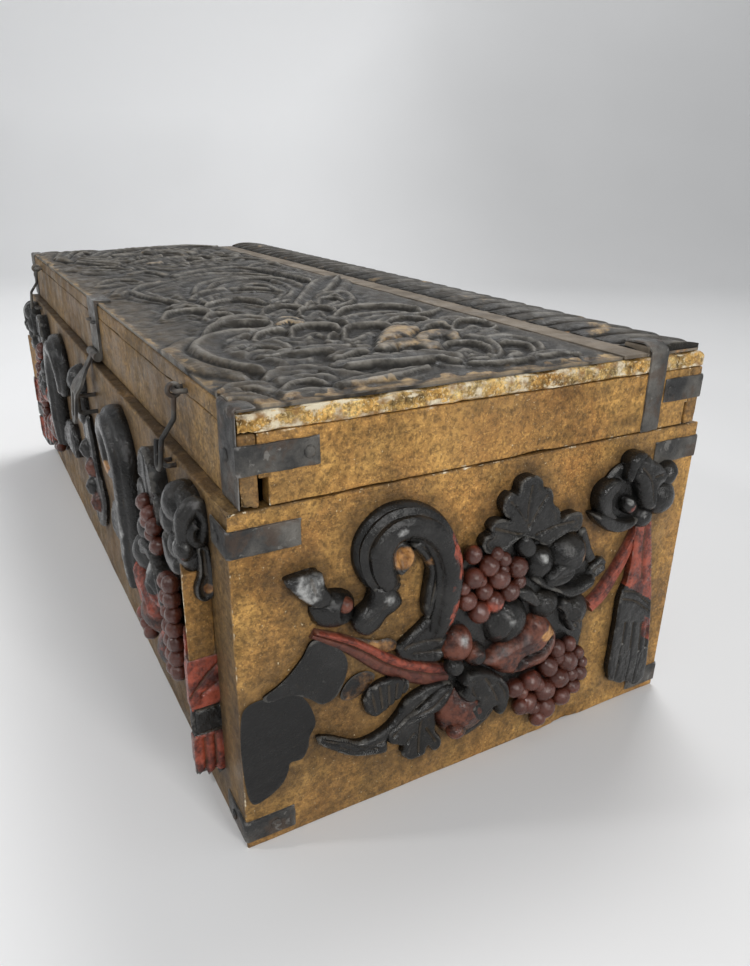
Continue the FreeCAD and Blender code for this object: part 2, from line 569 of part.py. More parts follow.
def hasp():
    """A nailed strap over the lid's front edge, a slotted plate on its pin, and the staple below."""
    pivot, iron, radius = hasp_pivot(), size("hasp_iron"), size("hasp_knuckle")
    lid_front = size("lid_setback_front") - size("body_depth") / 2
    width, bore = size("hasp_strap_width"), size("hasp_pin") + size("pin_clearance")
    panel_top = (size("body_height") + size("seam_gap") + size("rail_height") + size("lid_board")
                 + size("veneer"))
    start = pivot.x - width / 2
    third = width / 3
    gap = size("knuckle_gap")
    clear = radius + gap
    face = Part.makeBox(width, iron, panel_top + iron - pivot.z - clear,
                        Vector(start, lid_front - iron, pivot.z + clear))
    over = Part.makeBox(width, iron + size("lid_plate_return"), iron,
                        Vector(start, lid_front - iron, panel_top))
    pieces = [over]
    for offset in (0, width - third + gap):
        web_corner = Vector(start + offset, lid_front - iron, pivot.z)
        pieces.append(Part.makeBox(third - gap, iron, clear, web_corner))
        end = Vector(start + offset, pivot.y, pivot.z)
        pieces.append(Part.makeCylinder(radius, third - gap, end, X_AXIS))
    line = Vector(start, pivot.y, pivot.z)
    hole = Part.makeCylinder(bore, width, line, X_AXIS)
    shaped("hasp_strap", face.multiFuse(pieces).cut(hole).removeSplitter())
    shaped("hasp_pin", Part.makeCylinder(size("hasp_pin"), width, line, X_AXIS))

    drop, half = size("hasp_length"), size("hasp_width") / 2
    out = pivot.y - radius
    fall = ((out + 0.6, pivot.z), (out - 14, pivot.z - drop * 0.52), (out - 16.5, pivot.z - drop))
    bent = extruded_strip(fall, iron, pivot.x - half, 2 * half)
    neck, toe = third / 2, half * 0.62
    edge = [(neck, 2), (neck, -drop * 0.2), (half, -drop * 0.42), (toe, -drop * 0.66), (toe, -drop * 0.9),
            (toe * 0.5, -drop)]
    plan = outline_face(edge + [(-across, down) for across, down in reversed(edge)], False)
    slot_width, slot_height = size("hasp_slot_width"), size("hasp_slot_height")
    slot_foot = 4.5 - drop
    slot = Part.makeBox(slot_width, slot_height - slot_width, 60,
                        Vector(-slot_width / 2, slot_foot + slot_width / 2, 0))
    ends = [Part.makeCylinder(slot_width / 2, 60, Vector(0, slot_foot + slot_width / 2 + share, 0))
            for share in (0, slot_height - slot_width)]
    tool = plan.extrude(Vector(0, 0, 60)).cut(slot.multiFuse(ends))
    tool.Placement = FreeCAD.Placement(Vector(pivot.x, pivot.y + 10, pivot.z),
                                       FreeCAD.Rotation(X_AXIS, Z_AXIS, -Y_AXIS, "ZXY"))
    barrel = Part.makeCylinder(radius, third - gap, pivot - X_AXIS * (third - gap) / 2, X_AXIS)
    plate = bent.common(tool).fuse(barrel).cut(hole).removeSplitter()
    shaped("hasp_plate", plate)

    seat = Vector(pivot.x, -size("body_depth") / 2, size("body_height") - size("staple_drop"))
    reach = size("staple_reach") - size("staple_wire")
    shaped("hasp_staple", staple(seat, reach, size("staple_span"), Z_AXIS, size("staple_wire")))


# ---------------------------------------------------------------- carving

def ball(u, v, radius, top):
    """A round fruit whose crown stands at height top above the board."""
    return Part.makeSphere(radius, Vector(u, v, top - radius))


def leaf(points, rise):
    """A flat-backed leaf with a round outline."""
    return outline_face(points).extrude(Vector(0, 0, rise))


def band(points, widths, rise):
    """A ribbon of varying width along points (u, v)."""
    line = [Vector(u, v, 0) for u, v in points]
    left, right = [], []
    for number, point in enumerate(line):
        along = (line[min(number + 1, len(line) - 1)] - line[max(number - 1, 0)]).normalize()
        across = Vector(-along.y, along.x, 0) * (widths[number] / 2)
        left.append(point + across)
        right.append(point - across)
    edges = []
    for side in (left, right):
        curve = Part.BSplineCurve()
        curve.interpolate(side)
        edges.append(curve.toShape())
    edges.append(Part.makeLine(left[0], right[0]))
    edges.append(Part.makeLine(left[-1], right[-1]))
    return Part.Face(Part.Wire(Part.__sortEdges__(edges))).extrude(Vector(0, 0, rise))


def flat_backed(shape):
    """What stands in front of the board's face."""
    box = shape.BoundBox
    room = Part.makeBox(box.XLength + 2, box.YLength + 2, box.ZMax + 1,
                        Vector(box.XMin - 1, box.YMin - 1, 0))
    return shape.common(room)


def volute(start, heading, turns):
    """A carved horn: tangent arcs, each (radius, degrees, thickness), curling to the left."""
    tubes, spot, angle = [], Vector(start[0], start[1], 0), math.radians(heading)
    for bend, degrees, thickness in turns:
        centre = spot + Vector(-math.sin(angle), math.cos(angle), 0) * bend
        ends = []
        for share in (0, 0.5, 1):
            swing = angle + math.radians(degrees) * share
            ends.append(centre + Vector(math.sin(swing), -math.cos(swing), 0) * bend)
        lift = Vector(0, 0, thickness * 0.35)
        path = Part.Wire([Part.Arc(*[end + lift for end in ends]).toShape()])
        forward = Vector(math.cos(angle), math.sin(angle), 0)
        section = Part.Wire([Part.makeCircle(thickness, ends[0] + lift, forward)])
        tubes.append(flat_backed(path.makePipeShell([section], True, False)))
        tubes.append(flat_backed(Part.makeSphere(thickness * 1.04, ends[2] + lift)))
        spot, angle = ends[2], angle + math.radians(degrees)
    return tubes[0].multiFuse(tubes[1:])


def mirrored(shape):
    """The same carving for the other hand."""
    return shape.mirror(Vector(0, 0, 0), X_AXIS)


FACES = {
    "front": (lambda: Vector(0, -size("body_depth") / 2, 0), (X_AXIS, Z_AXIS, -Y_AXIS)),
    "right": (lambda: Vector(size("body_length") / 2, 0, 0), (Y_AXIS, Z_AXIS, X_AXIS)),
}


def on_face(shape, face):
    """The carving, made flat on XY, set on a board's outer face."""
    origin, (across, up, outward) = FACES[face]
    placed = shape.copy()
    placed.Placement = FreeCAD.Placement(origin(), FreeCAD.Rotation(across, up, outward, "ZXY"))
    return placed


def fruit_festoon(outline, vine, fruits, grapes, top):
    """A hanging group on one core: fruits are (u, v, radius, share of the rise), grapes are (u, v)."""
    members = [leaf(vine, top * 0.62)]
    members += [ball(u, v, radius, top * share) for u, v, radius, share in fruits]
    members += [ball(u, v, size("grape"), top * 0.85) for u, v in grapes]
    return leaf(outline, top * 0.4).multiFuse(members)


def end_festoon(at, top):
    """The fruit of the ends; at puts points of the drawing in place."""
    outline = [(-18, 127), (2, 131), (20, 128), (37, 124), (60, 115), (66, 99), (60, 84), (66, 66), (68, 49),
               (60, 23), (44, 15), (30, 20), (14, 37), (2, 21), (-14, 17), (-26, 31), (-28, 48), (-28, 68),
               (-26, 88), (-20, 105)]
    vine = [(-9, 127), (-9, 134), (-4, 141), (2, 151), (8, 155), (14, 160), (21, 159), (25, 152), (32, 147),
            (37, 137), (43, 129), (54, 131), (54, 122), (38, 121), (20, 119), (0, 123)]
    fruits = [(-19, 78, 10, 1.0), (-22, 67, 4.6, 1.0), (-8, 38, 17, 0.92), (30, 113, 9, 0.95),
              (51, 107, 16.5, 1.0), (13, 86, 12.5, 1.0), (56, 74, 12, 0.95), (31, 67, 14, 0.9),
              (28, 56, 8, 0.95), (6, 64, 9, 0.85)]
    grapes = [(-15, 126), (-15, 115), (-6, 120), (-17, 101), (-7, 106), (-10, 94), (3, 120), (11, 116),
              (3, 111), (8, 103), (1, 98), (16, 111)]
    grapes += [(24 + 9 * column - 3.5 * line, 49 - 9.5 * line - 2.5 * column) for line in range(3)
               for column in range(5)]
    return fruit_festoon(at(outline), at(vine), at(fruits), at(grapes), top)


def front_festoon(top, middle_u, middle_v):
    """The fruit of the front's right half."""
    outline = [(-46, 2), (-40, 24), (-20, 34), (-10, 52), (12, 50), (26, 34), (42, 22), (45, -8), (40, -34),
               (24, -48), (0, -56), (-24, -52), (-44, -38), (-50, -16)]
    vine = [(-16, 36), (-20, 48), (-12, 56), (-10, 68), (0, 75), (8, 66), (14, 54), (12, 36)]
    fruits = [(7, 3, 20, 1.0), (-22, -30, 15, 0.95), (-30, 4, 13, 0.9), (12, -34, 13, 0.9), (-8, 26, 9, 0.95)]
    grapes = [(-2 + 9 * column, 44 - 4 * column) for column in range(3)]
    grapes += [(4 + 9 * column, 36 - 4 * column) for column in range(2)]
    grapes += [(31 + 8 * column, 16 - 9 * line + 2 * column) for line in range(5) for column in range(2)]
    grapes += [(-42 + 8 * column, -40 - 2 * column) for column in range(3)]

    def moved(places):
        return [(place[0] + middle_u, place[1] + middle_v) + tuple(place[2:]) for place in places]

    return fruit_festoon(moved(outline), moved(vine), moved(fruits), moved(grapes), top)


def flower(u, v, petals, hollow, bead, top):
    """A boss of round petals (across, up, radius) with a hollow and a bead in it."""
    rounds = [ball(u + across, v + up, radius, top - 0.4 * number)
              for number, (across, up, radius) in enumerate(petals)]
    across, up, radius = hollow
    cup = rounds[0].multiFuse(rounds[1:]).cut(Part.makeSphere(radius, Vector(u + across, v + up, top)))
    across, up, radius = bead
    return cup.fuse(ball(u + across, v + up, radius, top - 1))


def strap_notch(leg, base, rise):
    """The room of a rear corner strap on an end, where the carving is cut away for it."""
    return Part.makeBox(size(leg), size("strap_width"), rise,
                        Vector(size("body_depth") / 2 - size(leg), base, 0))


def end_carving():
    """Festoon, horn, ribbons, bosses and leaves of the right end, and the same in mirror on the left."""
    top, ribbon, low = size("end_relief"), size("ribbon_relief"), size("leaf_relief")
    across = size("body_depth") / size("pattern_depth")
    upward = size("body_height") / size("pattern_height")
    growth = min(across, upward)
    pieces = {}

    def at(points):
        return [(point[0] * across, point[1] * upward) + tuple(point[2:]) for point in points]

    def cut_from(shape, *others):
        solid = flat_backed(shape)
        return solid.cut(Part.makeCompound(list(others))) if others else solid

    group = pieces["festoon"] = cut_from(end_festoon(at, top))
    turns = ((120, 24, 8), (21, 64, 8), (14, 90, 7), (11, 90, 5), (7, 90, 3.8), (5, 90, 3))
    turns = [(bend * growth, degrees, thickness * growth) for bend, degrees, thickness in turns]
    foot = at([(-27, 93)])[0]
    toe = leaf([(foot[0] + u * growth, foot[1] + v * growth) for u, v in
                ((-50, 25), (-39, 34), (-28, 30), (-25, 19), (-36, 9), (-48, 13))], top * 0.7)
    horn = volute(foot, 92, turns)
    horn = pieces["horn"] = horn.fuse(toe.cut(horn)).cut(group)

    petals = [(-10, 13, 7.5), (9, 7, 13), (18, -5, 10), (-20, 3, 9), (-17, -12, 9), (-4, -16, 8), (2, -4, 9)]
    upper = strap_notch("case_strap_leg", size("body_height") - size("case_strap_drop") - size("strap_width"),
                        top)
    boss_u, boss_v = at([(92.5, 136.5)])[0]
    rear = flower(boss_u, boss_v, petals, (-11, -4, 8.5), (-5, 0, 4.5), top)
    rear = pieces["rear_boss"] = cut_from(rear, upper, group)
    fall = [(90, 124), (101, 122), (109, 92), (114, 60), (120, 26), (104, 12), (89, 24), (88, 56), (90, 91)]
    lower = strap_notch("foot_strap_leg", size("foot_strap_lift"), top)
    tail = pieces["rear_tail"] = cut_from(leaf(at(fall), ribbon), rear, lower, group)
    swag = band(at([(60, 55), (70, 69), (81, 87), (90, 114)]), (9, 10, 10, 8), ribbon)
    pieces["rear_ribbon"] = cut_from(swag, rear, tail, group)

    petals = [(7, -1, 8), (1, 9, 5.5), (-7, 3, 5.5), (-4, -7, 5.5), (3, -10, 5), (0, 0, 8)]
    stub_u, stub_v = at([(-87.5, 120.5)])[0]
    stub = flower(stub_u, stub_v, petals, (3, 0, 5.5), (3, 0, 3.2), top * 0.8)
    wedge = leaf([(stub_u + u, stub_v + v) for u, v in ((-22, 20), (-7, 20), (-4, 6), (-13, 3))], top * 0.5)
    stub = pieces["front_boss"] = cut_from(stub.fuse(wedge), horn)
    drape = at([(-97, 109), (-80, 98), (-63, 84), (-44, 72), (-24, 63)])
    swag = pieces["front_ribbon"] = cut_from(band(drape, (4, 6, 9.5, 12, 12), ribbon), stub, group, horn)

    blade = [(-100, 48), (-93, 51), (-81, 45), (-70, 41), (-56, 46), (-36, 58), (-26, 60), (-34, 46),
             (-30, 34), (-34, 22), (-48, 21), (-54, 31), (-72, 30), (-89, 40)]
    pieces["long_leaf"] = cut_from(leaf(at(blade), low), group, swag)
    blade = [(-75, 69), (-67, 75), (-58, 72), (-48, 65), (-58, 54), (-70, 57)]
    pieces["short_leaf"] = cut_from(leaf(at(blade), low), group, swag)
    for name, solid in pieces.items():
        placed = on_face(solid, "right")
        shaped(f"right_end_{name}", placed)
        shaped(f"left_end_{name}", mirrored(placed))
    blade = [(-98, 103), (-90, 100), (-82, 90), (-84, 78), (-93, 71), (-104, 77), (-119, 81), (-112, 89),
             (-103, 95)]
    shaped("right_end_front_leaf", on_face(cut_from(leaf(at(blade), low * 0.6), swag), "right"))


def front_carving():
    """Bosses with tails at both ends, a fruit cluster and a horn each side, and a spray in the middle."""
    top, low, rim = size("front_relief"), size("leaf_relief"), size("body_height")
    boss_u = size("body_length") / 2 - size("front_boss_inset")
    boss_v = rim - size("front_boss_drop")
    petals = [(2, 13, 9), (-13, 9, 10), (14, 1, 9), (-15, -8, 8), (4, -14, 8), (12, -12, 8), (0, 0, 12)]
    boss = flat_backed(flower(boss_u, boss_v, petals, (-3, 1, 7), (-3, 1, 4), top))
    fall = ((-16, boss_v - 14), (14, boss_v - 14), (16, 60), (17, 24), (0, 18), (-16, 26), (-18, 60))
    tail = outline_face([(boss_u + across, up) for across, up in fall], False).extrude(Vector(0, 0, top))
    tail = tail.cut(boss)
    cluster = front_festoon(top, boss_u - size("cluster_inset"), rim - size("cluster_drop"))
    cluster = flat_backed(cluster).cut(boss.fuse(tail))
    turns = ((150, 30, 10), (26, 62, 10), (17, 90, 9), (13, 90, 7), (9, 90, 5))
    horn = volute((boss_u - size("horn_inset"), rim - size("horn_drop")), 88, turns)
    horn = horn.cut(cluster)
    for name, solid in (("boss", boss), ("tail", tail), ("festoon", cluster), ("horn", horn)):
        placed = on_face(solid, "front")
        shaped(f"front_right_{name}", placed)
        shaped(f"front_left_{name}", mirrored(placed))

    def hung(places):
        return [(u, rim - drop) for u, drop in places]

    centre = leaf(hung([(-30, 111), (-34, 87), (-22, 71), (-26, 43), (-14, 49), (0, 47), (8, 67), (16, 87),
                        (30, 101), (18, 125), (0, 135), (-20, 127)]), low)
    stem = leaf(hung([(-24, 53), (-24, 31), (-14, 27), (-8, 35), (-10, 53)]), low)
    crown = ball(-18, rim - 23, 12, top * 0.85)
    drops = [ball(u, v, 9, top * 0.7) for u, v in hung([(-14, 75), (2, 85), (-6, 103), (8, 111)])]
    spray = flat_backed(centre.multiFuse([crown, stem] + drops))
    shaped("front_centre_spray", on_face(spray, "front"))


# ---------------------------------------------------------------- build and write

case_boards()
lid_boards()
top_dressing()
corner_straps()
all_nails()
hinges()
hook_sets()
hasp()
front_carving()
end_carving()
doc.recompute()

for thing in doc.Objects:
    if {"Invalid", "Error"} & set(thing.State):
        raise RuntimeError(f"{thing.Label} did not recompute: {thing.State}")
for thing in subparts:
    if thing.Shape.isNull() or not thing.Shape.isValid() or not thing.Shape.Solids:
        raise RuntimeError(f"{thing.Label} has no valid solid")

os.makedirs("parts", exist_ok=True)
for thing in subparts:
    thing.Shape.exportStep(os.path.join("parts", f"{thing.Label}.step"))
print(len(subparts), "sub-parts written")
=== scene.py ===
"""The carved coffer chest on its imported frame: worn gilded boards, painted carving and wrought iron."""
import math
from itertools import product

import bpy
import numpy as np
from mathutils import Matrix, Vector, kdtree
from mathutils.geometry import delaunay_2d_cdt


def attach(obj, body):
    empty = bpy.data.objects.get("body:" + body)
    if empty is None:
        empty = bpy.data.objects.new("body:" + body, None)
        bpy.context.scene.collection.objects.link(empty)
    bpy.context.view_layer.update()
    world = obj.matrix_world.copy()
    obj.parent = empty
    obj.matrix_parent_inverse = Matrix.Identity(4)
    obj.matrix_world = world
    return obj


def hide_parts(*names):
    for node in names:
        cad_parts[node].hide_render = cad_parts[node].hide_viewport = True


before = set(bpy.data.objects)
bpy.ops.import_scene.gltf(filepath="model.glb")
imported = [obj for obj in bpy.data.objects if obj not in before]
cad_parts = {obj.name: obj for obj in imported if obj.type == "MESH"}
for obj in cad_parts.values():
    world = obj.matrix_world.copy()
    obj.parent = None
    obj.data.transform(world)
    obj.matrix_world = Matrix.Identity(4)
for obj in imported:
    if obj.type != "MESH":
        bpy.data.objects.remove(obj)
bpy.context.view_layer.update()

MM = 0.001

# Where the boards are, in millimetres.
END_FACE = 311.0
FRONT_FACE = 132.5
INNER_FACE = 124.5
CASE_TOP = 171.5
LID_FOOT = 171.9
LID_FRONT, LID_BACK = -126.5, 128.5
RAIL_TOP = 202.4
TOP_BOARD = 210.9
PANEL_TOP = 212.1
# How far the middle of the long boards and of the top runs to each side, and the plain fillet's edges.
FIELD_END = 310.0
FILLET_FRONT, FILLET_BACK = 71.0, 87.0
# How far the carving of the ends may stand out, and the width of the corner straps.
END_RELIEF = 11.45
STRAP_WIDTH = 12.5


# ---------------------------------------------------------------- lines, lumps and shells

def columns(*parts):
    """Values side by side, one row for each point."""
    return np.column_stack(parts)


def limited(values):
    """Values held between 0 and 1."""
    return np.clip(values, 0, 1)


def bell(values):
    """1 at nought, and fading to nothing on both sides of it."""
    return np.exp(-values ** 2)


def lumps(points, span, seed=0.0):
    """Smooth random values from -1 to 1 at points, changing over the given span."""
    spot = np.asarray(points, float)
    if spot.shape[1] == 2:
        spot = columns(spot, np.zeros(len(spot)))
    spot = spot / span + seed * 7.31
    cell = np.floor(spot).astype(np.int64)
    part = spot - cell
    part = part * part * (3 - 2 * part)
    total = np.zeros(len(spot))
    for corner in range(8):
        step = np.array([corner & 1, corner >> 1 & 1, corner >> 2 & 1])
        key = ((cell + step) * np.array([73856093, 19349663, 83492791])).sum(axis=1)
        key = ((key ^ (key >> 13)) * 1274126177) & 0x7FFFFFFF
        key = ((key ^ (key >> 11)) * 668265263) & 0x7FFFFFFF
        value = key % 10007 / 5003.0 - 1.0
        total += value * np.where(step == 1, part, 1 - part).prod(axis=1)
    return total


def round_line(points, step, closed=False):
    """A round line through points; further columns, such as a width, are carried along."""
    given = np.array(points, float)
    count = len(given)
    runs = []
    for i in range(count if closed else count - 1):
        b, c = given[i], given[(i + 1) % count]
        a = given[i - 1] if closed or i else 2 * b - c
        d = given[(i + 2) % count] if closed or i + 2 < count else 2 * c - b
        knots = [0.0]
        for p, q in ((a, b), (b, c), (c, d)):
            knots.append(knots[-1] + max(np.linalg.norm((q - p)[:2]), 1e-3) ** 0.5)
        pieces = max(2, int(round(np.linalg.norm((c - b)[:2]) / step)))
        t = (knots[1] + (knots[2] - knots[1]) * np.arange(pieces) / pieces)[:, None]

        def between(p, q, low, high):
            return (p * (high - t) + q * (t - low)) / (high - low)

        ab, bc, cd = (between(p, q, knots[j], knots[j + 1]) for j, (p, q)
            in enumerate(((a, b), (b, c), (c, d))))
        runs.append(between(between(ab, bc, knots[0], knots[2]), between(bc, cd, knots[1], knots[3]),
            knots[1], knots[2]))
    if not closed:
        runs.append(given[-1:])
    return np.vstack(runs)


def headings(path):
    """The way ahead at each point of a flat line, and the way to its left."""
    ahead = np.gradient(path[:, :2], axis=0)
    ahead /= np.linalg.norm(ahead, axis=1)[:, None]
    return ahead, columns(-ahead[:, 1], ahead[:, 0])


def distance_to(points, line, closed=False):
    """How far points are from a line of short runs."""
    a = line if closed else line[:-1]
    b = np.roll(line, -1, axis=0) if closed else line[1:]
    run = b - a
    length = np.maximum((run ** 2).sum(axis=1), 1e-9)
    far = []
    for start in range(0, len(points), 3000):
        offset = points[start:start + 3000, None, :] - a[None]
        share = limited((offset * run).sum(axis=2) / length)
        far.append(np.sqrt(((offset - share[:, :, None] * run) ** 2).sum(axis=2)).min(axis=1))
    return np.concatenate(far)


def within(points, ring):
    """Which points lie inside a closed ring."""
    ahead = np.roll(ring, -1, axis=0)
    x, y = points[:, :1], points[:, 1:2]
    crosses = (ring[:, 1] > y) != (ahead[:, 1] > y)
    rise = ahead[:, 1] - ring[:, 1]
    at = (ahead[:, 0] - ring[:, 0]) * (y - ring[:, 1]) / np.where(rise == 0, 1e-9, rise) + ring[:, 0]
    return (crosses & (x < at)).sum(axis=1) % 2 == 1


# Shares of paint kept on each vertex. The silver share is partly grey silvering and partly painted highlight,
# the crest share partly rubbed paint and partly painted highlight, and the shade share painted shade, with
# dirt and stain in places.
PAINTS = ("red", "maroon", "bare", "silver", "shade", "crest", "dust", "gilt")


class Shells:
    """Closed shells that make one carved piece, each with its shares of paint; seeds count from shift."""

    def __init__(self, shift=0.0):
        self.points, self.faces, self.paint, self.count, self.shift = [], [], [], 0, shift

    def add(self, points, faces, paint):
        points = np.asarray(points, float)
        volume = 0.0
        for group in faces:
            corners = points[group]
            for k in range(1, group.shape[1] - 1):
                volume += np.einsum("ij,ij->", corners[:, 0], np.cross(corners[:, k], corners[:, k + 1]))
        for group in faces:
            self.faces.append((group if volume > 0 else group[:, ::-1]) + self.count)
        table = np.zeros((len(points), len(PAINTS)))
        for name, share in paint.items():
            if callable(share):
                share = share(points[:, 0], points[:, 1], points[:, 2])
            table[:, PAINTS.index(name)] = limited(share)
        self.points.append(points)
        self.paint.append(table)
        self.count += len(points)


def skin(rings):
    """Faces round a row of equal rings, closed at both ends."""
    rows, round_count = rings.shape[:2]
    i, j = np.meshgrid(np.arange(rows - 1), np.arange(round_count), indexing="ij")
    i, j = i.ravel(), j.ravel()
    ahead = (j + 1) % round_count
    sides = columns(i * round_count + j, i * round_count + ahead, (i + 1) * round_count + ahead,
        (i + 1) * round_count + j)
    caps = np.array([list(range(round_count))[::-1],
        [(rows - 1) * round_count + k for k in range(round_count)]])
    return rings.reshape(-1, 3), [sides, caps]


# ---------------------------------------------------------------- carver's shapes
# A carved face is laid out flat: u along it, v up it, and w out from the board.

SUNK = -0.4


def leaf(shells, outline, rise, edge=0.5, rim=4.0, scoop=0.0, veins=(), groove=(0.9, 1.1), flutes=None,
        ridges=(), tilt=(0, 0), grain=0.22, spacing=0.9, seed=1, ceiling=None, straight=False, undercut=0.5,
        **paint):
    """A leaf or scroll: a round rim, a scooped middle, and grooves along its veins or its outline."""
    seed += shells.shift
    ring = np.array(outline, float)
    if straight:
        ring = np.vstack([ring[i] + (ring[(i + 1) % len(ring)] - ring[i]) * share for i in range(len(ring))
            for share in np.linspace(0, 1, 7)[:-1]])
    else:
        ring = round_line(ring, spacing * 0.9, True)
    low, high = ring.min(axis=0), ring.max(axis=0)
    spots = []
    for k, row in enumerate(np.arange(low[1], high[1], spacing * 0.866)):
        across = np.arange(low[0] + (k % 2) * spacing / 2, high[0], spacing)
        spots.append(columns(across, np.full(len(across), row)))
    spots = np.vstack(spots)
    spots = spots[within(spots, ring)]
    spots = spots[distance_to(spots, ring, True) > spacing * 0.45]
    flat = np.vstack([ring, spots])
    made = delaunay_2d_cdt([Vector(p) for p in flat], [], [list(range(len(ring)))], 1, 1e-5)
    flat = np.array([tuple(p) for p in made[0]])
    triangles = np.array([tuple(f) for f in made[2]])
    inset = distance_to(flat, ring, True)
    share = limited(inset / rim)
    w = rise * (edge + (1 - edge) * np.sqrt(1 - (1 - share) ** 2))
    if scoop:
        hollow = limited((inset - rim * 0.55) / (rim * 1.3))
        w -= scoop * hollow * hollow * (3 - 2 * hollow)
    for vein in veins:
        w -= groove[0] * bell(distance_to(flat, round_line(vein, 2.0)) / groove[1])
    for ridge, amount, width in ridges:
        w += amount * bell(distance_to(flat, round_line(ridge, 2.0)) / width)
    if flutes:
        pitch, depth = flutes
        w -= depth * (0.5 - 0.5 * np.cos(2 * np.pi * inset / pitch)) * limited(inset / 1.5)
    centre = flat.mean(axis=0)
    w += (flat - centre) @ np.array(tilt, float)
    w += grain * (lumps(flat, 7.0, seed) + 0.5 * lumps(flat, 2.6, seed + 3))
    w = np.clip(w, 0.15, ceiling)
    ends = np.sort(np.vstack([triangles[:, [0, 1]], triangles[:, [1, 2]], triangles[:, [2, 0]]]), axis=1)
    ends, times = np.unique(ends, axis=0, return_counts=True)
    following = {}
    loose = {tuple(pair) for pair in ends[times == 1]}
    for a, b, c in triangles:
        for start, end in ((a, b), (b, c), (c, a)):
            if (min(start, end), max(start, end)) in loose:
                following[start] = end
    border = [next(iter(following))]
    while following[border[-1]] != border[0] and len(border) <= len(following):
        border.append(following[border[-1]])
    border = np.array(border)
    edge_line = flat[border]
    behind, before = np.roll(edge_line, 1, axis=0), np.roll(edge_line, -1, axis=0)
    along = before - behind
    inward = columns(-along[:, 1], along[:, 0])
    inward /= np.maximum(np.linalg.norm(inward, axis=1), 1e-6)[:, None]
    turn = np.sign(np.sum(edge_line[:, 0] * before[:, 1] - edge_line[:, 1] * before[:, 0]))
    foot_line = edge_line + inward * undercut * turn
    top = columns(flat, w)
    middle = columns(foot_line, w[border] * 0.45)
    foot = columns(foot_line, np.full(len(border), SUNK))
    second, size = len(flat), len(border)
    around = np.arange(size)
    ahead = (around + 1) % size
    wall_top = columns(border[ahead], border[around], second + around, second + ahead)
    wall_foot = columns(second + ahead, second + around, second + size + around, second + size + ahead)
    under = (second + size + around)[::-1][None, :]
    shells.add(np.vstack([top, middle, foot]), [triangles, wall_top, wall_foot, under], paint)


def dome(shells, u, v, radius, top, stretch=(1.0, 1.0), turn=0.0, marks=(), rings=20, spokes=44, bumps=0.03,
        seed=1, **paint):
    """A round fruit or bead; marks are (across, up, radius, depth, kind) hollows, rings and clefts."""
    seed += shells.shift
    middle = top - radius
    lowest = max((SUNK - middle) / radius, -0.97)
    swing = np.linspace(0, math.acos(lowest), rings + 1)[1:]
    angle = np.arange(spokes) * 2 * np.pi / spokes
    s, a = np.meshgrid(swing, angle, indexing="ij")
    way = np.stack([np.sin(s) * np.cos(a), np.sin(s) * np.sin(a), np.cos(s)], axis=-1).reshape(-1, 3)
    way = np.vstack([[[0, 0, 1]], way])
    reach = radius * (1 + bumps * lumps(way, 0.5, seed + u) + bumps * 0.4 * lumps(way, 0.2, seed + v))
    spot = way * reach[:, None]
    for across, up, size, depth, kind in marks:
        away = np.hypot(spot[:, 0] - across, spot[:, 1] - up)
        if kind == "hollow":
            change = -depth * bell(away / size)
        elif kind == "ring":
            change = depth * bell((away - size) / (size * 0.28))
        else:
            away = np.abs((spot[:, 0]) * math.sin(up) - (spot[:, 1]) * math.cos(up))
            fade = limited((spot[:, 0] * math.cos(up) + spot[:, 1] * math.sin(up)) / radius + across)
            change = -depth * bell(away / size) * fade
        spot[:, 2] += change * limited(way[:, 2] * 2)
    c, d = math.cos(turn), math.sin(turn)
    x, y = spot[:, 0] * stretch[0], spot[:, 1] * stretch[1]
    points = columns(u + x * c - y * d, v + x * d + y * c, np.maximum(middle + spot[:, 2], SUNK))
    fan = columns(np.zeros(spokes, int), 1 + np.arange(spokes), 1 + (np.arange(spokes) + 1) % spokes)
    i, j = np.meshgrid(np.arange(rings - 1), np.arange(spokes), indexing="ij")
    i, j = i.ravel(), j.ravel()
    k = (j + 1) % spokes
    body = columns(1 + i * spokes + j, 1 + (i + 1) * spokes + j, 1 + (i + 1) * spokes + k, 1 + i * spokes + k)
    under = (1 + (rings - 1) * spokes + np.arange(spokes))[::-1][None, :]
    shells.add(points, [fan, body, under], paint)


def horn(shells, line, grooves, spokes=36, step=1.6, seed=1, ceiling=None, **paint):
    """A thick curling scroll along line, given as (u, v, radius, height of its middle)."""
    seed += shells.shift
    path = round_line(line, step)
    side = headings(path)[1]
    angle = np.arange(spokes) * 2 * np.pi / spokes
    rings = []
    for number, (u, v, radius, height) in enumerate(path):
        reach = np.full(spokes, radius)
        for centre, width, depth in grooves:
            gap = (angle - centre + np.pi) % (2 * np.pi) - np.pi
            reach = reach - radius * depth * bell(gap / width)
        ring = columns(u + side[number, 0] * np.sin(angle) * reach,
            v + side[number, 1] * np.sin(angle) * reach, height + np.cos(angle) * reach)
        rings.append(ring)
    rings = np.array(rings)
    flat = rings.reshape(-1, 3)
    flat[:, 2] += 0.25 * lumps(flat, 7.0, seed) + 0.12 * lumps(flat, 2.5, seed)
    flat[:, 2] = np.clip(flat[:, 2], SUNK, ceiling)
    points, faces = skin(flat.reshape(rings.shape))
    shells.add(points, faces, paint)


def ribbon(shells, line, profile, step=1.5, across=21, wander=0.25, seed=1, **paint):
    """A cloth band along line, given as (u, v, width); profile gives its height across, from -1 to 1."""
    seed += shells.shift
    path = round_line(line, step)
    side = headings(path)[1]
    t = np.linspace(-1, 1, across)
    knots, heights = zip(*profile)
    rings = []
    for number, (u, v, width) in enumerate(path):
        w = np.interp(t, knots, heights)
        spot = columns(u + side[number, 0] * t * width / 2, v + side[number, 1] * t * width / 2)
        w = np.maximum(w + wander * lumps(spot, 6.0, seed), 0.2)
        foot = spot[[-1, 0]]
        rings.append(np.vstack([columns(spot, w), columns(foot, [SUNK, SUNK])]))
    points, faces = skin(np.array(rings))
    shells.add(points, faces, paint)


# ---------------------------------------------------------------- setting pieces in place

def on_right_end(p):
    return columns(END_FACE + p[:, 2], p[:, 0], p[:, 1])


